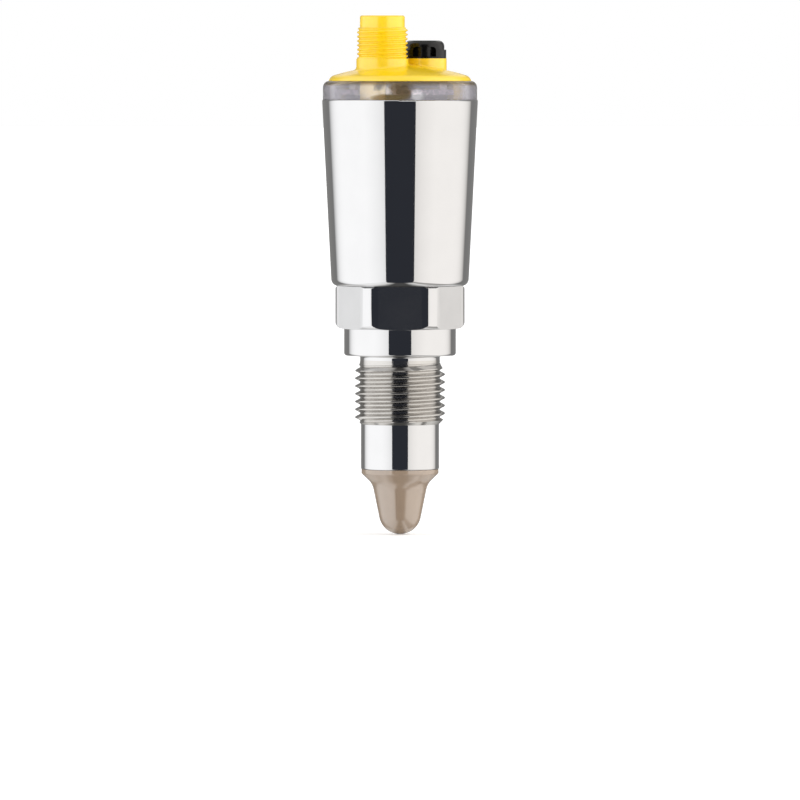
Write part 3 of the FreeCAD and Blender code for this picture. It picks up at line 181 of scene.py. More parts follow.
class LevelSwitchFitting(bpy.types.PropertyGroup):
    """Sizes of the fitting's pipe thread, hexagon and turned surfaces."""

    pitch: length("Thread Pitch", "Rise of the pipe thread in one turn", 1.8143)
    crest: length("Thread Crest", "Radius over the crests of the pipe thread", 10.4775)
    depth: length("Thread Depth", "Height of the pipe thread from root to crest", 1.162)
    flank: angle("Flank Angle", "Angle of the thread's flanks to a level plane", 27.5)
    crest_level: level("Crest Level", "Level of a crest at the right-hand side", -8.026)
    foot: level("Thread Foot", "Level where the thread's bevel leaves the plain sleeve", -16.0)
    head: level("Thread Head", "Level where the thread runs into the relief", -1.0)
    runout: length("Run-out", "Height of the curve in which the thread runs out below the relief", 2.55)
    steps: IntProperty(name="Steps", description="Steps of the thread in one turn", default=128, min=24)
    border: length("Flat Border", "Width of the polished border on both sides of a flat", 1.6)
    flats: FloatProperty(name="Half Flats", description="Distance from the axis to a flat of the hexagon",
                         default=-FITTING_LOW.y, precision=5, unit="LENGTH", subtype="DISTANCE")
    corner_start: length("Corner Start", "Distance from a flat's middle to where it begins to turn", 6.1)
    corner_strip: length("Corner Strip", "Width of each of the three strips that turn a corner", 0.42)
    corner_turn: angle("Corner Turn", "Angle from one strip to the next", 7)
    turns: IntProperty(name="Spin Steps", description="Steps of the turned surfaces in one turn",
                       default=160, min=24)


class LevelSwitchHead(bpy.types.PropertyGroup):
    """Sizes of the head's moulded plug thread."""

    pitch: length("Thread Pitch", "Rise of the plug thread in one turn", 1.0)
    crest: length("Thread Crest", "Radius over the crests of the plug thread", 5.9)
    depth: length("Thread Depth", "Height of the plug thread from root to crest", 0.44)
    flank: angle("Flank Angle", "Angle of the thread's flanks to a level plane", 30)
    crest_level: level("Crest Level", "Level of a crest at the right-hand side", 72.76)
    foot: level("Thread Foot", "Level of the shoulder under the thread", 69.1)
    head: level("Thread Head", "Level of the shoulder over the thread", 76.4)
    lead: length("Thread Lead", "Depth under its crests from which the thread's top slopes out", 0.45)
    runout: length("Run-out", "Length over which the lowest turn grows shallow", 0.3)
    steps: IntProperty(name="Steps", description="Steps of the thread in one turn", default=96, min=24)


class LevelSwitchColours(bpy.types.PropertyGroup):
    """Colours of the finishes, the ring's painted light and shade, and its painted glow."""

    steel: colour("Steel", "Polished stainless steel", (0.62, 0.62, 0.625))
    thread: colour("Thread", "Rolled steel of the pipe thread", (0.575, 0.56, 0.54))
    yellow: colour("Head", "Yellow moulding of the head", (0.925, 0.64, 0.003))
    black: colour("Cap", "Black moulding of the vent cap and the plug insert", (0.003, 0.003, 0.0033))
    tan: colour("Tip", "Tan plastic of the probe tip", (0.325, 0.242, 0.173))
    ring: colour("Ring", "Tint of the hazy ring", (0.93, 0.90, 0.98))
    # The ring's painted light and shade: its legs seen through it as lit, painted shade beside them, a painted
    # bluish reflection in the gap over a leg, painted shade under them, a painted glint before the lamps, the
    # painted glow of the lit legs and the glint, and the head's painted shade on the ring's top.
    ring_painted_leg_light: colour("Ring Warm", "Tint of the ring before the head's legs", (0.97, 0.94, 0.92))
    ring_painted_shade: colour("Ring Dark", "Tint of the ring beside the legs", (0.40, 0.31, 0.20))
    ring_painted_gap_reflection: colour("Ring Shade", "Tint of the ring in the gap over a leg", (0.50, 0.53, 0.66))
    ring_painted_foot_shade: colour("Ring Foot", "Tint of the ring under the legs", (0.60, 0.46, 0.22))
    ring_painted_glint: colour("Ring Gleam", "Tint of the ring before the lamps", (0.98, 0.97, 1.0))
    ring_painted_glow: plain("Ring Glow", "Light that the ring gathers before the legs and lamps", 0.115)
    ring_painted_seat_shade: colour("Ring Seat", "Shade of the ring where it takes up the head", (0.38, 0.25, 0.07))
    white: colour("White", "White mouldings and lamps", (0.86, 0.85, 0.80))
    grey: colour("Grey", "Grey moulding of the carrier", (0.30, 0.30, 0.32))
    rubber: colour("Rubber", "Seals", (0.02, 0.02, 0.022))
    gold: colour("Gold", "Plated contacts", (0.95, 0.70, 0.30))
    brass: colour("Brass", "Turned brass", (0.78, 0.58, 0.28))
    tin: colour("Tin", "Tinned leads and aluminium cans", (0.80, 0.80, 0.82))
    board: colour("Board", "Lacquered circuit board", (0.012, 0.16, 0.07))
    pale_board: colour("Lamp Board", "Pale lacquer of the lamps' board", (0.43, 0.41, 0.44))


class LevelSwitchStudio(bpy.types.PropertyGroup):
    """Lamps, cards, floor and camera."""

    left: plain("Left Panel", "Brightness of the left-hand panel, where 1 is white", 1.53)
    right: plain("Right Panel", "Brightness of the right-hand panel, where 1 is white", 1.42)
    fill: plain("Fill", "Brightness of the air around for dull surfaces", 0.53)
    dark: plain("Front Card", "Brightness of the dark card at the camera", 0.050)
    cool: colour("Front Tint", "Tint of the dark card at the camera", (0.72, 0.79, 1.0))
    grey: plain("Rear Cards", "Brightness of the grey cards behind", 0.27)
    rear_ends: plain("Rear Card Ends", "Brightness of the rear cards' upper and lower ends", 0.95)
    table: plain("Table Sides", "Brightness of the table on both sides of the object", 1.1)
    table_front: plain("Table Front", "Brightness of the table in front of the object", 0.10)
    foot_left: plain("Left Foot", "Brightness of the left-hand panel's foot as a share of the panel", 0.85)
    foot_right: plain("Right Foot", "Brightness of the right-hand panel's foot as a share of the panel", 0.40)
    ceiling: plain("Ceiling", "Brightness of the ceiling behind the object, where it is 1 in front", 0.15)
    lift: plain("Floor Light", "Share of the floor's glow that reaches dull surfaces", 0.65)
    lamp_left: plain("Left Lamp", "Strength of the left-hand lamp as a share of its panel", 0.58)
    lamp_right: plain("Right Lamp", "Strength of the right-hand lamp as a share of its panel", 0.98)
    edge: plain("Panel Front Edge", "Share of a panel's brightness at its front edge", 0.80)
    side: level("Panel Distance", "Distance of both panels from the object", 420)
    front: level("Panel Front", "How far both panels come forward", 970)
    rear: level("Panel Rear", "How far both panels go back", 370)
    rear_depth: level("Rear Card Depth", "How far the rear cards run back from the panels", 1900)
    rear_gap: level("Rear Card Gap", "Distance of the rear cards' far ends from the middle", 100)
    reach: level("Panel Reach", "How far both panels reach up and down", 850)
    foot: level("Panel Foot", "How far down both panels are bright", 420)
    warm: colour("Right Tint", "Tint of the right-hand panel", (1.0, 0.97, 0.935))
    pale: colour("Card Tint", "Tint of the rear cards, the table and the ceiling", (1.0, 0.99, 0.97))
    floor: level("Floor Reach", "How far the floor reaches to every side", 12000)
    distance: level("Camera Distance", "Distance of the camera from the object's axis", 2083)
    height: level("Camera Height", "Level of the camera", 69.6)
    aim: level("Aim", "Level that the middle of the picture shows", -10.4)
    lens: FloatProperty(name="Lens", description="Focal length for a 36 mm sensor", default=401.9,
                        min=1, unit="CAMERA")


def settings(name):
    return getattr(bpy.context.scene, "level_switch_" + name)


# ---- Shader nodes ----


def feed(tree, value, socket):
    """Link an output to a socket, or set the socket to a number or a colour."""
    if isinstance(value, bpy.types.NodeSocket):
        tree.links.new(value, socket)
    elif value is not None:
        socket.default_value = (*value, 1) if socket.type == "RGBA" else value


def add(tree, kind, **values):
    """Add a shader node and set its properties, or its inputs where the name is an input's."""
    made = tree.nodes.new("ShaderNode" + kind)
    for name, value in values.items():
        if hasattr(made, name):
            setattr(made, name, value)
        else:
            feed(tree, value, made.inputs[name.replace("_", " ")])
    return made


def maths(tree, operation, first, second=None, clamp=False):
    """Add a Math node fed by sockets or numbers, and give its output."""
    made = add(tree, "Math", operation=operation, use_clamp=clamp)
    for socket, value in zip(made.inputs, (first, second)):
        feed(tree, value, socket)
    return made.outputs[0]


def noise(tree, vector, scale, detail=2.0, dimensions="3D"):
    """Add a Noise Texture and give its value."""
    made = add(tree, "TexNoise", noise_dimensions=dimensions, Detail=detail)
    feed(tree, vector, made.inputs["W" if dimensions == "1D" else "Vector"])
    feed(tree, scale, made.inputs["Scale"])
    return made.outputs[0]


def spread(tree, value, low, high, new_low, new_high):
    """Map a value from one range to another, each end a number or a socket."""
    made = add(tree, "MapRange")
    feed(tree, value, made.inputs["Value"])
    ends = {"From Min": low, "From Max": high, "To Min": new_low, "To Max": new_high}
    for name, end in ends.items():
        feed(tree, end, made.inputs[name])
    return made.outputs["Result"]


def blended(tree, share, first, second, blend_type="MIX"):
    """Mix two colours by a share."""
    made = add(tree, "Mix", data_type="RGBA", blend_type=blend_type)
    sockets = (made.inputs[MIX_SHARE], made.inputs[MIX_FIRST], made.inputs[MIX_SECOND])
    for socket, value in zip(sockets, (share, first, second)):
        feed(tree, value, socket)
    return made.outputs[MIX_RESULT]


def split(tree, vector):
    """Give a vector's X, Y and Z."""
    made = add(tree, "SeparateXYZ")
    feed(tree, vector, made.inputs[0])
    return made.outputs


def reach_of(tree, vector):
    """Give a vector's length."""
    made = add(tree, "VectorMath", operation="LENGTH")
    feed(tree, vector, made.inputs[0])
    return made.outputs["Value"]


def shaded(tree, tint, share, clouds):
    """Darken a colour by a share of the clouds."""
    shade = maths(tree, "SUBTRACT", 1.0, maths(tree, "MULTIPLY", clouds, share))
    return blended(tree, 1.0, tint, shade, "MULTIPLY")


def uneven_polish(tree, given, clouds, fine, share):
    """Spread a mix of clouds and fine marks between a group's two roughnesses."""
    clouds, fine = maths(tree, "MULTIPLY", clouds, share), maths(tree, "MULTIPLY", fine, 1 - share)
    mixed = maths(tree, "ADD", clouds, fine)
    return spread(tree, mixed, 0.0, 1.0, given["Roughness Low"], given["Roughness High"])


def start_group(name, inputs, outputs):
    """Start a shader group with named sockets, and give its tree, its inputs and its outputs."""
    tree = bpy.data.node_groups.new(name, "ShaderNodeTree")
    for label, kind, default in inputs:
        socket = tree.interface.new_socket(label, in_out="INPUT", socket_type="NodeSocket" + kind)
        if default is not None:
            socket.default_value = default
    for label, kind in outputs:
        tree.interface.new_socket(label, in_out="OUTPUT", socket_type="NodeSocket" + kind)
    source = tree.nodes.new("NodeGroupInput")
    target = tree.nodes.new("NodeGroupOutput")
    return tree, source.outputs, target.inputs


def turned_metal_group():
    """Fine tool lines round the main axis, with faint marks that change the polish."""
    name = "Turned Metal"
    if name in bpy.data.node_groups:
        return bpy.data.node_groups[name]
    inputs = [("Vector", "Vector", None), ("Colour", "Color", (0.6, 0.6, 0.6, 1)),
              ("Line Spacing", "Float", 0.0001), ("Marks", "Float", 0.03),
              ("Roughness Low", "Float", 0.05), ("Roughness High", "Float", 0.1)]
    outputs = [("Colour", "Color"), ("Roughness", "Float"), ("Height", "Float")]
    tree, given, made = start_group(name, inputs, outputs)
    parts = split(tree, given["Vector"])
    flat = add(tree, "CombineXYZ")
    feed(tree, parts["X"], flat.inputs["X"])
    feed(tree, parts["Y"], flat.inputs["Y"])
    along = maths(tree, "ADD", parts["Z"], reach_of(tree, flat.outputs[0]))
    lines = noise(tree, maths(tree, "DIVIDE", along, given["Line Spacing"]), 1.0, 3.0, "1D")
    mark_scale, mark_detail, mark_low, mark_high = 160.0, 4.0, 0.35, 0.7
    marks = spread(tree, noise(tree, given["Vector"], mark_scale, mark_detail), mark_low, mark_high, 0.0, 1.0)
    feed(tree, shaded(tree, given["Colour"], given["Marks"], marks), made["Colour"])
    feed(tree, uneven_polish(tree, given, marks, lines, 0.6), made["Roughness"])
    feed(tree, lines, made["Height"])
    return tree


def moulded_plastic_group():
    """Fine grain of a moulding, with faint clouds in colour and sheen."""
    name = "Moulded Plastic"
    if name in bpy.data.node_groups:
        return bpy.data.node_groups[name]
    inputs = [("Vector", "Vector", None), ("Colour", "Color", (0.5, 0.5, 0.5, 1)),
              ("Grain Size", "Float", 0.0001), ("Mottle", "Float", 0.05),
              ("Roughness Low", "Float", 0.3), ("Roughness High", "Float", 0.4)]
    outputs = [("Colour", "Color"), ("Roughness", "Float"), ("Height", "Float")]
    tree, given, made = start_group(name, inputs, outputs)
    grain = noise(tree, given["Vector"], maths(tree, "DIVIDE", 1.0, given["Grain Size"]))
    cloud_scale, cloud_detail = 220.0, 3.0
    clouds = noise(tree, given["Vector"], cloud_scale, cloud_detail)
    clouds = spread(tree, clouds, *NOISE_SPAN, 0.0, 1.0)
    feed(tree, shaded(tree, given["Colour"], given["Mottle"], clouds), made["Colour"])
    feed(tree, uneven_polish(tree, given, clouds, grain, 0.5), made["Roughness"])
    feed(tree, grain, made["Height"])
    return tree


def board_tracks_group():
    """Lacquered board with copper tracks on a fine grid and bright round pads."""
    name = "Board Tracks"
    if name in bpy.data.node_groups:
        return bpy.data.node_groups[name]
    inputs = [("Vector", "Vector", None), ("Lacquer", "Color", (0.01, 0.2, 0.1, 1)),
              ("Pad", "Color", (0.8, 0.8, 0.8, 1)), ("Track Pitch", "Float", 0.0012)]
    outputs = [("Colour", "Color"), ("Metallic", "Float"), ("Height", "Float")]
    tree, given, made = start_group(name, inputs, outputs)
    scale = maths(tree, "DIVIDE", 1.0, given["Track Pitch"])
    track_width, pad_spacing, pad_radius, copper = 0.08, 0.45, 0.16, (1.8, 1.6, 1.6)
    cells = add(tree, "TexVoronoi", distance="CHEBYCHEV", feature="DISTANCE_TO_EDGE")
    feed(tree, given["Vector"], cells.inputs["Vector"])
    feed(tree, scale, cells.inputs["Scale"])
    tracks = maths(tree, "LESS_THAN", cells.outputs["Distance"], track_width)
    dots = add(tree, "TexVoronoi", feature="F1")
    feed(tree, given["Vector"], dots.inputs["Vector"])
    feed(tree, maths(tree, "MULTIPLY", scale, pad_spacing), dots.inputs["Scale"])
    pads = maths(tree, "LESS_THAN", dots.outputs["Distance"], pad_radius)
    lit = blended(tree, 1.0, given["Lacquer"], copper, "MULTIPLY")
    lacquer = blended(tree, tracks, given["Lacquer"], lit)
    feed(tree, blended(tree, pads, lacquer, given["Pad"]), made["Colour"])
    feed(tree, pads, made["Metallic"])
    feed(tree, maths(tree, "MAXIMUM", tracks, pads), made["Height"])
    return tree


def start_finish(name):
    """Start a material, and give it with its tree, its shader and its object coordinates."""
    material = bpy.data.materials.new(name)
    material.use_nodes = True
    tree = material.node_tree
    place = add(tree, "TexCoord")
    return material, tree, tree.nodes["Principled BSDF"], place.outputs["Object"]


def place_group(tree, group, vector, **values):
    """Put a shader group into a material with its own values."""
    made = tree.nodes.new("ShaderNodeGroup")
    made.node_tree = group
    feed(tree, vector, made.inputs["Vector"])
    for name, value in values.items():
        feed(tree, value, made.inputs[name.replace("_", " ")])
    return made.outputs


def bump(tree, shader, height, strength, distance):
    """Feed a height, which rises a distance in millimetres, through a Bump node to the shader's normal."""
    made = add(tree, "Bump", Strength=strength, Distance=distance * MM)
    feed(tree, height, made.inputs["Height"])
    feed(tree, made.outputs["Normal"], shader.inputs["Normal"])


def metal(name, tint, spacing, low, high, marks=0.03, strength=0.1):
    """A metal, by the millimetres between its tool lines and its lowest and highest roughness."""
    if name in bpy.data.materials:
        return bpy.data.materials[name]
    material, tree, shader, vector = start_finish(name)
    shader.inputs["Metallic"].default_value = 1
    made = place_group(tree, turned_metal_group(), vector, Colour=tint, Line_Spacing=spacing * MM,
                       Roughness_Low=low, Roughness_High=high, Marks=marks)
    feed(tree, made["Colour"], shader.inputs["Base Color"])
    feed(tree, made["Roughness"], shader.inputs["Roughness"])
    bump(tree, shader, made["Height"], strength, 0.01)
    return material


def polished_steel():
    """The bright steel of the fitting and the housing."""
    return metal("Polished Steel", settings("colours").steel, 0.12, 0.03, 0.06, marks=0.02, strength=0.02)


def gold_plating():
    """The plating of the contacts."""
    return metal("Gold Plating", settings("colours").gold, 0.08, 0.12, 0.22, marks=0.08)


def plastic(name, tint, grain, low, high, mottle=0.05, strength=0.1, bending=1.5, soft=0.0):
    """A plastic or rubber, by its grain in millimetres and its lowest and highest roughness."""
    if name in bpy.data.materials:
        return bpy.data.materials[name]
    material, tree, shader, vector = start_finish(name)
    shader.inputs["IOR"].default_value = bending
    if soft:
        shader.inputs["Subsurface Weight"].default_value = soft
        shader.inputs["Subsurface Scale"].default_value = 0.6 * MM
    made = place_group(tree, moulded_plastic_group(), vector, Colour=tint, Grain_Size=grain * MM,
                       Mottle=mottle, Roughness_Low=low, Roughness_High=high)
    feed(tree, made["Colour"], shader.inputs["Base Color"])
    feed(tree, made["Roughness"], shader.inputs["Roughness"])
    bump(tree, shader, made["Height"], strength, 0.02)
    return material


def painted_ring_shapes(tree, vector, high, shown):
    """Paint the lit legs seen through, shade, a reflection and a glint into the ring's colour; give it and the
    painted glow.
    """
    tints = settings("colours")
    parts = split(tree, vector)
    wander = spread(tree, noise(tree, vector, WAVER_SCALE), *NOISE_SPAN, -1.0, 1.0)
    around = maths(tree, "ARCTAN2", parts["X"], maths(tree, "MULTIPLY", parts["Y"], -1.0))
    around = maths(tree, "ADD", around, maths(tree, "MULTIPLY", wander, WAVER_AROUND))
    lifted = maths(tree, "ADD", parts["Z"], maths(tree, "MULTIPLY", wander, WAVER_UP))
    drop = maths(tree, "SUBTRACT", high, lifted)
    glow = BLACK
    for turn, width, fall, height, name, lit in RING_PAINTED_SHAPES:
        beside = maths(tree, "SUBTRACT", around, math.radians(turn))
        beside = maths(tree, "PINGPONG", beside, math.pi / 2)
        beside = maths(tree, "POWER", maths(tree, "DIVIDE", beside, math.radians(width)), 2.0)
        below = maths(tree, "DIVIDE", maths(tree, "SUBTRACT", drop, fall * MM), height * MM)
        away = maths(tree, "ADD", beside, maths(tree, "MULTIPLY", below, below))
        share = spread(tree, away, *SHAPE_FADE, 1.0, 0.0)
        tint = getattr(tints, name)
        # Paint each patch into the colour, and the lit ones into the painted glow as well.
        shown = blended(tree, share, shown, tint)
        glow = blended(tree, share, glow, tint if lit else BLACK)
    return shown, glow


def clear_plastic(high):
    """Clear moulding with a milky haze, painted light and shade for what shows through it, and the head's
    painted shade on its top.
    """
    tints = settings("colours")
    material, tree, shader, vector = start_finish("Hazy Ring Plastic")
    shader.inputs["Transmission Weight"].default_value = 0.85
    shader.inputs["IOR"].default_value = 1.5
    # Painted glow: the ring emits where the patches of lit legs and the glint lie.
    shader.inputs["Emission Strength"].default_value = tints.ring_painted_glow
    made = place_group(tree, moulded_plastic_group(), vector, Colour=tints.ring, Grain_Size=0.4 * MM,
                       Mottle=0.12, Roughness_Low=0.12, Roughness_High=0.20)
    shown, glow = painted_ring_shapes(tree, vector, high, made["Colour"])
    # Painted shade: colour and glow grow darker where the ring is seen edge-on, standing in for light lost
    # through more plastic.
    facing = add(tree, "LayerWeight", Blend=0.5).outputs["Facing"]
    edge_on_from, edge_on_to, edge_on_share = 0.32, 0.6, 0.35
    depth = spread(tree, facing, edge_on_from, edge_on_to, 1.0, edge_on_share)
    # Painted shade of the head, blended in towards the ring's top.
    shade = spread(tree, split(tree, vector)["Z"], high - SHADE_START, high - SHADE_END, 0.0, 1.0)
    for own, edge, target in ((shown, tints.ring_painted_seat_shade, "Base Color"), (glow, BLACK, "Emission Color")):
        edge_on_shaded = blended(tree, 1.0, own, depth, "MULTIPLY")
        feed(tree, blended(tree, shade, edge_on_shaded, edge), shader.inputs[target])
    feed(tree, made["Roughness"], shader.inputs["Roughness"])
    bump(tree, shader, made["Height"], 0.25, 0.03)
    return material


def board(name, lacquer):
    """Lacquered circuit board."""
    if name in bpy.data.materials:
        return bpy.data.materials[name]
    material, tree, shader, vector = start_finish(name)
    shader.inputs["Roughness"].default_value = 0.3
    made = place_group(tree, board_tracks_group(), vector, Lacquer=lacquer, Pad=settings("colours").tin,
                       Track_Pitch=1.2 * MM)
    feed(tree, made["Colour"], shader.inputs["Base Color"])
    feed(tree, made["Metallic"], shader.inputs["Metallic"])
    bump(tree, shader, made["Height"], 0.4, 0.03)
    return material


def chip(name, axis, edge, tint, lead):
    """Moulded package whose leads, beyond a distance in millimetres from the middle plane, are bare metal."""
    material, tree, shader, vector = start_finish(name)
    made = place_group(tree, moulded_plastic_group(), vector, Colour=tint, Grain_Size=0.08 * MM,
                       Mottle=0.1, Roughness_Low=0.45, Roughness_High=0.6)
    outside = maths(tree, "GREATER_THAN", maths(tree, "ABSOLUTE", split(tree, vector)[axis]), edge * MM)
    feed(tree, blended(tree, outside, made["Colour"], lead), shader.inputs["Base Color"])
    feed(tree, outside, shader.inputs["Metallic"])
    smoother = maths(tree, "MULTIPLY", outside, 0.25)
    feed(tree, maths(tree, "SUBTRACT", made["Roughness"], smoother), shader.inputs["Roughness"])
    bump(tree, shader, made["Height"], 0.1, 0.02)
    return material


# ---- Mesh helpers ----


def round_corner(bm, corner, radius, segments=6):
    """Round a corner of an outline that lies in the XZ plane."""
    ends = [edge.other_vert(corner).co - corner.co for edge in corner.link_edges]
    turn = math.pi - ends[0].angle(ends[1])
    bmesh.ops.bevel(bm, geom=[corner], offset=radius * math.tan(turn / 2), offset_type="OFFSET",
                    segments=segments, profile=0.5, affect="VERTICES", material=-1)


def draw_outline(bm, corners):
    """Join corners of radius and level, in metres, by edges in the XZ plane."""
    verts = [bm.verts.new((radius, 0, height)) for radius, height in corners]
    for start, end in zip(verts, verts[1:]):
        bm.edges.new((start, end))
    return verts


def whole(bm):
    """Give all of a mesh."""
    return bm.verts[:] + bm.edges[:] + bm.faces[:]


def turned(outline, steps):
    """Spin an open outline of radius, level and rounding, in millimetres, about the main axis."""
    bm = bmesh.new()
    verts = draw_outline(bm, [(radius * MM, height * MM) for radius, height, _ in outline])
    for vert, (_, _, rounding) in zip(verts, outline):
        if rounding:
            round_corner(bm, vert, rounding * MM)
    bmesh.ops.spin(bm, geom=whole(bm), cent=(0, 0, 0), axis=(0, 0, 1), angle=math.tau, steps=steps,
                   use_merge=True)
    return bm


def wound_thread(sizes, low, high):
    """Wind a V thread with rounded crests and roots up the main axis, cut level at both ends."""
    bm = bmesh.new()
    sharp_height = sizes.pitch / 2 / math.tan(sizes.flank)
    truncation = (sharp_height - sizes.depth) / 2
    rounding = truncation / (1 / math.sin(sizes.flank) - 1)
    spare = 2
    turns = math.ceil((high - low) / sizes.pitch) + 2 * spare
    below = math.ceil((sizes.crest_level - low) / sizes.pitch) + spare
    start = sizes.crest_level - below * sizes.pitch
    radii = (sizes.crest + truncation, sizes.crest + truncation - sharp_height)
    corners = [(radii[k % 2], start + k * sizes.pitch / 2) for k in range(2 * turns + 1)]
    verts = draw_outline(bm, corners)
    bmesh.ops.bevel(bm, geom=verts[1:-1], offset=rounding / math.tan(sizes.flank), offset_type="OFFSET",
                    segments=3, profile=0.5, affect="VERTICES", material=-1)
    flanks = [edge for edge in bm.edges if edge.calc_length() > rounding]
    bmesh.ops.subdivide_edges(bm, edges=flanks, cuts=2)
    bmesh.ops.spin(bm, geom=whole(bm), cent=(0, 0, 0), axis=(0, 0, 1), angle=math.tau,
                   steps=sizes.steps, dvec=(0, 0, sizes.pitch / sizes.steps))
    bmesh.ops.remove_doubles(bm, verts=bm.verts[:], dist=JOINED)
    for height, side in ((low, "clear_inner"), (high, "clear_outer")):
        bmesh.ops.bisect_plane(bm, geom=whole(bm), dist=ON_CUT, plane_co=(0, 0, height), plane_no=(0, 0, 1),
                               **{side: True})
    return bm


def mill_flat(bm, facing, distance):
    """Cut away what stands out beyond a distance from the main axis, and give the new flat."""
    cut = bmesh.ops.bisect_plane(bm, geom=whole(bm), dist=ON_CUT, plane_co=facing * distance,
                                 plane_no=facing, clear_outer=True)
    rim = [part for part in cut["geom_cut"] if isinstance(part, bmesh.types.BMEdge)]
    return bmesh.ops.contextual_create(bm, geom=rim)["faces"]


def pour_in(bm, part):
    """Add a part's mesh to another, and drop the part."""
    mesh = bpy.data.meshes.new("part")
    part.to_mesh(mesh)
    part.free()
    bm.from_mesh(mesh)
    bpy.data.meshes.remove(mesh)


def set_radius(vert, radius):
    """Move a corner level, in or out from the main axis."""
    now = math.hypot(vert.co.x, vert.co.y)
    vert.co.x *= radius / now
    vert.co.y *= radius / now


def bridge_at(bm, height, reach=0.06 * MM):
    """Join the two open rims that lie at a level."""
    rims = [edge for edge in bm.edges
            if edge.is_boundary and all(abs(vert.co.z - height) < reach for vert in edge.verts)]
    bmesh.ops.bridge_loops(bm, edges=rims)


def close_surface(bm, sharp):
    """Turn all faces outwards, and shade them smooth but for the edges that are sharper than an angle."""
    bmesh.ops.recalc_face_normals(bm, faces=bm.faces[:])
    for face in bm.faces:
        face.smooth = True
    for edge in bm.edges:
        edge.smooth = len(edge.link_faces) == 2 and edge.calc_face_angle() < sharp
    open_edges = sum(not edge.is_manifold for edge in bm.edges)
    if open_edges:
        raise ValueError(f"a piece is left with {open_edges} open edges")


def finish_piece(bm, name, materials, slot, *nodes):
    """Make the mesh a piece that rides on the body and stands for its solids."""
    mesh = bpy.data.meshes.new(name)
    bm.to_mesh(mesh)
    bm.free()
    for material in materials:
        mesh.materials.append(material)
    piece = bpy.data.objects.new(name, mesh)
    bpy.context.scene.collection.objects.link(piece)
    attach(piece, BODY)
    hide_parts(*nodes)
    return piece


def dress(node, material):
    """Give a solid that keeps its shape a better finish."""
    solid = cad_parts[node]
    for place in solid.material_slots:
        place.material = material


# ---- One operator for each piece or group of like pieces ----


class LEVEL_SWITCH_OT_fitting(bpy.types.Operator):
    """Turn the fitting, wind its pipe thread and mill its hexagon"""

    bl_idname = "level_switch.make_fitting"
    bl_label = "Fitting"

    def execute(self, context):
        sizes, tints = settings("fitting"), settings("colours")
        relief = FITTING_OUTLINE[0][0] * MM
        bm = wound_thread(sizes, sizes.foot, sizes.head)
        for vert in bm.verts:
            radius = math.hypot(vert.co.x, vert.co.y)
            below = FITTING_OUTLINE[-1][0] * MM + vert.co.z - sizes.foot
            below_head = (sizes.head - vert.co.z) / sizes.runout
            above = relief + (sizes.crest - relief) * below_head ** 2
            set_radius(vert, min(radius, below, above))
        for face in bm.faces:
            face.material_index = 1
        pour_in(bm, turned(FITTING_OUTLINE, sizes.turns))
        bridge_at(bm, sizes.foot)
        bridge_at(bm, sizes.head)
        for side in range(HEXAGON_SIDES):
            facing = Matrix.Rotation(math.tau * side / HEXAGON_SIDES, 3, "Z") @ Vector((0, -1, 0))
            flat = mill_flat(bm, facing, sizes.flats)
            across = Vector((-facing.y, facing.x, 0))
            half = max(vert.co.dot(across) for face in flat for vert in face.verts) - sizes.border
            for edge_side in (-half, half):
                pieces = {part for face in flat for part in (face, *face.edges, *face.verts)}
                parted = bmesh.ops.bisect_plane(bm, geom=list(pieces), dist=ON_CUT,
                                                plane_co=across * edge_side, plane_no=across)
                flat = [part for part in parted["geom"] if isinstance(part, bmesh.types.BMFace)]
            for face in flat:
                face.material_index = 2 if abs(face.calc_center_median().dot(across)) < half else 0
            for hand in (-1, 1):
                corner = facing * sizes.flats + across * hand * sizes.corner_start
                for strip in CORNER_STRIPS:
                    turn = Matrix.Rotation(hand * strip * sizes.corner_turn, 3, "Z")
                    mill_flat(bm, turn @ facing, corner.dot(turn @ facing))
                    corner += turn @ across * hand * sizes.corner_strip
        close_surface(bm, FITTING_CREASE)
        thread = metal("Thread Steel", tints.thread, 0.10, 0.10, 0.18, marks=0.08, strength=0.02)
        milled = metal("Milled Steel", tints.steel, 0.20, 0.16, 0.22, marks=0.04)
        steels = (polished_steel(), thread, milled)
        finish_piece(bm, "threaded_fitting", steels, "stainless_steel", "process_fitting")
        return {"FINISHED"}


class LEVEL_SWITCH_OT_housing(bpy.types.Operator):
    """Polish the conical housing"""

    bl_idname = "level_switch.finish_housing"
    bl_label = "Housing"

    def execute(self, context):
        dress("housing_shell", polished_steel())
        return {"FINISHED"}


class LEVEL_SWITCH_OT_ring(bpy.types.Operator):
    """Clear the light ring"""

    bl_idname = "level_switch.finish_ring"
    bl_label = "Light Ring"

    def execute(self, context):
        dress("light_ring", clear_plastic(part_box("light_ring")[1].z))
        return {"FINISHED"}


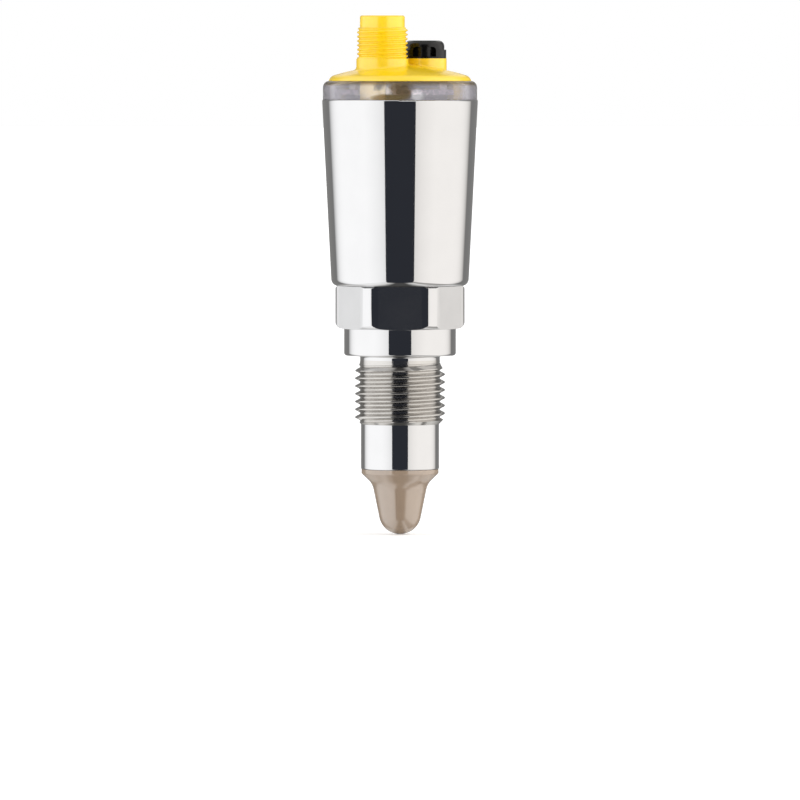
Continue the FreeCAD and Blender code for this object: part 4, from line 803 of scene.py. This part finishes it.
class LEVEL_SWITCH_OT_head(bpy.types.Operator):
    """Wind the plug thread on the head's stub and finish the yellow moulding"""

    bl_idname = "level_switch.make_head"
    bl_label = "Head"

    def execute(self, context):
        sizes = settings("head")
        axis = (SEAL_LOW + SEAL_HIGH) / 2
        shift = Matrix.Translation((axis.x, axis.y, 0))
        bm = bmesh.new()
        bm.from_mesh(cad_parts["head_cover"].data)
        bmesh.ops.remove_doubles(bm, verts=bm.verts[:], dist=JOINED)
        bmesh.ops.transform(bm, matrix=shift.inverted(), verts=bm.verts[:])
        near = 0.01 * MM
        inner, outer = sizes.crest - 0.7 * MM, sizes.crest + 0.2 * MM

        def on_wall(vert):
            between = sizes.foot - near < vert.co.z < sizes.head + near
            return between and inner < math.hypot(vert.co.x, vert.co.y) < outer

        plain_wall = [face for face in bm.faces if all(on_wall(vert) for vert in face.verts)]
        bmesh.ops.delete(bm, geom=plain_wall, context="FACES")
        thread = wound_thread(sizes, sizes.foot, sizes.head)
        for vert in thread.verts:
            radius = math.hypot(vert.co.x, vert.co.y)
            share = min(1, (vert.co.z - sizes.foot) / sizes.runout)
            radius = sizes.crest + (radius - sizes.crest) * share
            slope = sizes.crest - sizes.lead + sizes.head - vert.co.z
            set_radius(vert, min(radius, slope))
        pour_in(bm, thread)
        bridge_at(bm, sizes.foot, near)
        bridge_at(bm, sizes.head, near)
        bmesh.ops.transform(bm, matrix=shift, verts=bm.verts[:])
        close_surface(bm, HEAD_CREASE)
        yellow = plastic("Yellow Moulding", settings("colours").yellow, 0.25, 0.18, 0.26, mottle=0.03,
                         strength=0.04, bending=1.85)
        finish_piece(bm, "yellow_head", (yellow,), "yellow_plastic", "head_cover")
        return {"FINISHED"}


class LEVEL_SWITCH_OT_vent(bpy.types.Operator):
    """Finish the vent cap and the membrane under it"""

    bl_idname = "level_switch.finish_vent"
    bl_label = "Vent"

    def execute(self, context):
        tints = settings("colours")
        cap = plastic("Black Cap", tints.black, 0.12, 0.18, 0.28, mottle=0.3, strength=0.06, bending=1.42)
        dress("vent_cap", cap)
        dress("vent_membrane", plastic("Membrane", tints.white, 0.05, 0.7, 0.9, mottle=0.1, strength=0.5))
        return {"FINISHED"}


class LEVEL_SWITCH_OT_plug(bpy.types.Operator):
    """Finish the plug's insert and its contacts"""

    bl_idname = "level_switch.finish_plug"
    bl_label = "Plug"

    def execute(self, context):
        black = settings("colours").black
        dress("contact_insert", plastic("Black Insert", black, 0.15, 0.35, 0.5, mottle=0.3, strength=0.15))
        dress("contact_pins", gold_plating())
        return {"FINISHED"}


class LEVEL_SWITCH_OT_tip(bpy.types.Operator):
    """Finish the probe tip and the electrodes in it"""

    bl_idname = "level_switch.finish_tip"
    bl_label = "Probe Tip"

    def execute(self, context):
        tints = settings("colours")
        tan = plastic("Tan Tip", tints.tan, 0.10, 0.10, 0.15, mottle=0.06, strength=0.03, bending=2.2)
        dress("probe_tip", tan)
        brass = metal("Turned Brass", tints.brass, 0.15, 0.15, 0.3, marks=0.15, strength=0.3)
        for node in ("sensor_electrode", "guard_electrode", "tip_locknut"):
            dress(node, brass)
        dress("guard_contact", gold_plating())
        dress("electrode_insulator", plastic("Insulator", tints.white, 0.2, 0.3, 0.45, mottle=0.05))
        return {"FINISHED"}


class LEVEL_SWITCH_OT_seals(bpy.types.Operator):
    """Finish the seal rings"""

    bl_idname = "level_switch.finish_seals"
    bl_label = "Seals"

    def execute(self, context):
        tint = settings("colours").rubber
        rubber = plastic("Seal Rubber", tint, 0.15, 0.45, 0.65, mottle=0.3, strength=0.2)
        for node in ("lower_ring_seal", "upper_ring_seal", "insert_seal", "tip_seal_rings"):
            dress(node, rubber)
        return {"FINISHED"}


class LEVEL_SWITCH_OT_electronics(bpy.types.Operator):
    """Finish the boards, the parts on them and their carrier"""

    bl_idname = "level_switch.finish_electronics"
    bl_label = "Electronics"

    def execute(self, context):
        tints = settings("colours")
        dress("led_board", board("Pale Board", tints.pale_board))
        for node in ("main_board", "sensing_board"):
            dress(node, board("Lacquered Board", tints.board))
        dress("status_leds", plastic("Lamp Bodies", tints.white, 0.2, 0.2, 0.3, mottle=0.08, soft=0.2))
        dress("electronics_carrier", plastic("Carrier Moulding", tints.grey, 0.2, 0.35, 0.5, mottle=0.06))
        dress("power_inductor", plastic("Ferrite", tints.grey, 0.1, 0.5, 0.7, mottle=0.4, strength=0.3))
        dress("processor_chip", chip("Processor Package", "X", 3.52, tints.black, tints.tin))
        dress("sensing_chip", plastic("Chip Package", tints.black, 0.08, 0.45, 0.6, mottle=0.1))
        dress("output_transistors", plastic("Transistor Package", tints.black, 0.1, 0.4, 0.55, mottle=0.1))
        dress("board_capacitors", metal("Capacitor Cans", tints.tin, 0.2, 0.2, 0.35, marks=0.1, strength=0.2))
        pins = plastic("Strip Moulding", tints.black, 0.15, 0.4, 0.55, mottle=0.2)
        dress("board_header", pins)
        dress("sensing_header", pins)
        return {"FINISHED"}


def stage_plane(name, material, corners):
    """Make a flat sheet of the set from its four corners, in metres."""
    bm = bmesh.new()
    bm.faces.new([bm.verts.new(corner) for corner in corners])
    mesh = bpy.data.meshes.new(name)
    bm.to_mesh(mesh)
    bm.free()
    mesh.materials.append(material)
    sheet = bpy.data.objects.new(name, mesh)
    bpy.context.scene.collection.objects.link(sheet)
    return sheet


def card_material(name, tint, strength):
    """A card of even brightness."""
    material = bpy.data.materials.new(name)
    material.use_nodes = True
    tree = material.node_tree
    tree.nodes.clear()
    light = add(tree, "Emission", Color=tint, Strength=strength)
    target = add(tree, "OutputMaterial")
    feed(tree, light.outputs[0], target.inputs["Surface"])
    return material


def panel_material(name, tint, strength, foot, sizes):
    """A soft panel that is a little dimmer in front and fades into the rear card's grey behind."""
    material = card_material(name, tint, strength)
    tree = material.node_tree
    parts = split(tree, add(tree, "TexCoord").outputs["Object"])
    ends = [-share * sizes.front for share in FRONT_FADE]
    front = spread(tree, parts["Y"], *ends, sizes.edge, 1.0)
    behind = maths(tree, "POWER", spread(tree, parts["Y"], 0.0, sizes.rear, 0.0, 1.0), 3.0)
    fade = maths(tree, "SUBTRACT", 1.0, maths(tree, "MULTIPLY", behind, 1 - sizes.grey / strength))
    lit = maths(tree, "MULTIPLY", maths(tree, "MULTIPLY", front, fade), strength)
    ends = [-share * sizes.foot for share in FOOT_FADE]
    low = spread(tree, parts["Z"], *ends, foot, 1.0)
    feed(tree, maths(tree, "MULTIPLY", lit, low), tree.nodes["Emission"].inputs["Strength"])
    return material


def fading_material(name, tint, axis, reach, fade, first, last):
    """A card whose brightness fades from one value to another along an axis, alike on both sides."""
    material = card_material(name, tint, first)
    tree = material.node_tree
    parts = split(tree, add(tree, "TexCoord").outputs["Object"])
    away = maths(tree, "ABSOLUTE", parts[axis])
    lit = spread(tree, away, fade[0] * reach, fade[1] * reach, first, last)
    feed(tree, lit, tree.nodes["Emission"].inputs["Strength"])
    return material


def floor_material(sizes):
    """Pale floor that fades into the white background away from the object."""
    material, tree, shader, vector = start_finish("Pale Floor")
    shader.inputs["Base Color"].default_value = (0.86, 0.86, 0.86, 1)
    shader.inputs["Roughness"].default_value = 0.7
    glow = spread(tree, reach_of(tree, vector), *FLOOR_FADE, *FLOOR_GLOW)
    seen = add(tree, "LightPath").outputs["Is Camera Ray"]
    share = spread(tree, seen, 0.0, 1.0, sizes.lift, 1.0)
    feed(tree, WHITE, shader.inputs["Emission Color"])
    feed(tree, maths(tree, "MULTIPLY", glow, share), shader.inputs["Emission Strength"])
    return material


def panel_lamp(name, side, sizes, brightness, tint):
    """Light dull surfaces as a tall soft panel at one side of the object does."""
    lamp = bpy.data.lights.new(name, "AREA")
    lamp.shape = "RECTANGLE"
    lamp.size = 2 * sizes.reach
    lamp.size_y = sizes.front + sizes.rear
    lamp.color = tint
    lamp.energy = brightness * math.pi * lamp.size * lamp.size_y
    panel = bpy.data.objects.new(name, lamp)
    panel.location = (side * sizes.side, (sizes.rear - sizes.front) / 2, 0)
    panel.rotation_euler = (0, side * math.pi / 2, 0)
    panel.visible_camera = panel.visible_glossy = panel.visible_transmission = False
    bpy.context.scene.collection.objects.link(panel)


class LEVEL_SWITCH_OT_studio(bpy.types.Operator):
    """Set up the floor, the cards, the panels and the camera"""

    bl_idname = "level_switch.set_studio"
    bl_label = "Studio"

    def execute(self, context):
        scene, sizes = context.scene, settings("studio")
        ground, wide = CAD_BOX[0].z - FLOOR_DROP, sizes.floor
        floor = stage_plane("floor", floor_material(sizes), [
            (-wide, -wide, ground), (wide, -wide, ground), (wide, wide, ground), (-wide, wide, ground)])
        floor.visible_glossy = False
        low, high, front, side = -sizes.reach, sizes.reach, -sizes.front, sizes.side
        rear, back, gap = sizes.rear, sizes.rear + sizes.rear_depth, sizes.rear_gap
        dark = card_material("Dark Card", sizes.cool, sizes.dark)
        grey = fading_material("Grey Card", sizes.pale, "Z", high, REAR_FADE, sizes.grey, sizes.rear_ends)
        table = fading_material("Table", sizes.pale, "X", side, TABLE_FADE, sizes.table_front, sizes.table)
        ceiling = fading_material("Ceiling", sizes.pale, "Y", high, CEILING_FADE, 1.0, sizes.ceiling)
        cards = [
            stage_plane("front_card", dark, [
                (-side, front, low), (side, front, low), (side, front, high), (-side, front, high)]),
            stage_plane("table_card", table, [
                (-side, front, low), (side, front, low), (side, back, low), (-side, back, low)]),
            stage_plane("ceiling_card", ceiling, [
                (-side, 0, high), (side, 0, high), (side, back, high), (-side, back, high)])]
        hands = ((-1, "left", sizes.left, WHITE, sizes.lamp_left, sizes.foot_left),
                 (1, "right", sizes.right, sizes.warm, sizes.lamp_right, sizes.foot_right))
        for hand, name, strength, tint, share, foot in hands:
            panel = panel_material(name.capitalize() + " Panel", tint, strength, foot, sizes)
            near, far = hand * side, hand * gap
            cards.append(stage_plane(name + "_panel_card", panel, [
                (near, front, low), (near, rear, low), (near, rear, high), (near, front, high)]))
            cards.append(stage_plane(name + "_rear_card", grey, [
                (near, rear, low), (far, back, low), (far, back, high), (near, rear, high)]))
            panel_lamp(name + "_panel", hand, sizes, strength * share, tint)
        for card in cards:
            card.visible_camera = card.visible_diffuse = False
            card.visible_transmission = card.visible_shadow = False
        self.light_air(scene, sizes)
        self.place_camera(scene, sizes)
        scene.view_settings.view_transform = "Standard"
        return {"FINISHED"}

    def light_air(self, scene, sizes):
        """White air for the camera, shine and clear plastic, and a dimmer one for dull surfaces."""
        world = bpy.data.worlds.new("White Air")
        scene.world = world
        world.use_nodes = True
        tree = world.node_tree
        rays = add(tree, "LightPath").outputs
        shown = maths(tree, "ADD", rays["Is Camera Ray"], rays["Is Glossy Ray"])
        shown = maths(tree, "ADD", shown, rays["Is Transmission Ray"], clamp=True)
        strength = spread(tree, shown, 0.0, 1.0, sizes.fill, 1.0)
        sky = tree.nodes["Background"]
        feed(tree, WHITE, sky.inputs["Color"])
        feed(tree, strength, sky.inputs["Strength"])

    def place_camera(self, scene, sizes):
        """Stand the camera in front, level with the head, aimed at the middle of the picture."""
        camera = bpy.data.cameras.new("camera")
        camera.sensor_width = 36
        camera.lens = sizes.lens
        camera.clip_end = 50
        stand = bpy.data.objects.new("camera", camera)
        drop = sizes.height - sizes.aim
        stand.location = (0, -math.sqrt(sizes.distance ** 2 - drop ** 2), sizes.height)
        stand.rotation_euler = (math.pi / 2 - math.asin(drop / sizes.distance), 0, 0)
        scene.collection.objects.link(stand)
        scene.camera = stand


class LEVEL_SWITCH_PT_sidebar(bpy.types.Panel):
    """The switch's sizes, colours and pieces"""

    bl_idname = "LEVEL_SWITCH_PT_sidebar"
    bl_label = "Level Switch"
    bl_space_type = "VIEW_3D"
    bl_region_type = "UI"
    bl_category = "Level Switch"

    def draw(self, context):
        for operator in OPERATORS:
            self.layout.operator(operator.bl_idname)
        for name, group in SETTINGS.items():
            box = self.layout.box()
            box.label(text=name.capitalize())
            for field in group.__annotations__:
                box.prop(settings(name), field)


OPERATORS = (
    LEVEL_SWITCH_OT_fitting,
    LEVEL_SWITCH_OT_housing,
    LEVEL_SWITCH_OT_ring,
    LEVEL_SWITCH_OT_head,
    LEVEL_SWITCH_OT_vent,
    LEVEL_SWITCH_OT_plug,
    LEVEL_SWITCH_OT_tip,
    LEVEL_SWITCH_OT_seals,
    LEVEL_SWITCH_OT_electronics,
    LEVEL_SWITCH_OT_studio,
)
SETTINGS = {
    "fitting": LevelSwitchFitting,
    "head": LevelSwitchHead,
    "colours": LevelSwitchColours,
    "studio": LevelSwitchStudio,
}
CLASSES = (*SETTINGS.values(), *OPERATORS, LEVEL_SWITCH_PT_sidebar)


def register():
    for made in CLASSES:
        bpy.utils.register_class(made)
    for name, group in SETTINGS.items():
        setattr(bpy.types.Scene, "level_switch_" + name, PointerProperty(type=group))


def unregister():
    for name in SETTINGS:
        delattr(bpy.types.Scene, "level_switch_" + name)
    for made in reversed(CLASSES):
        bpy.utils.unregister_class(made)


def main():
    register()
    for operator in OPERATORS:
        family, name = operator.bl_idname.split(".")
        getattr(getattr(bpy.ops, family), name)()


if __name__ == "__main__":
    main()
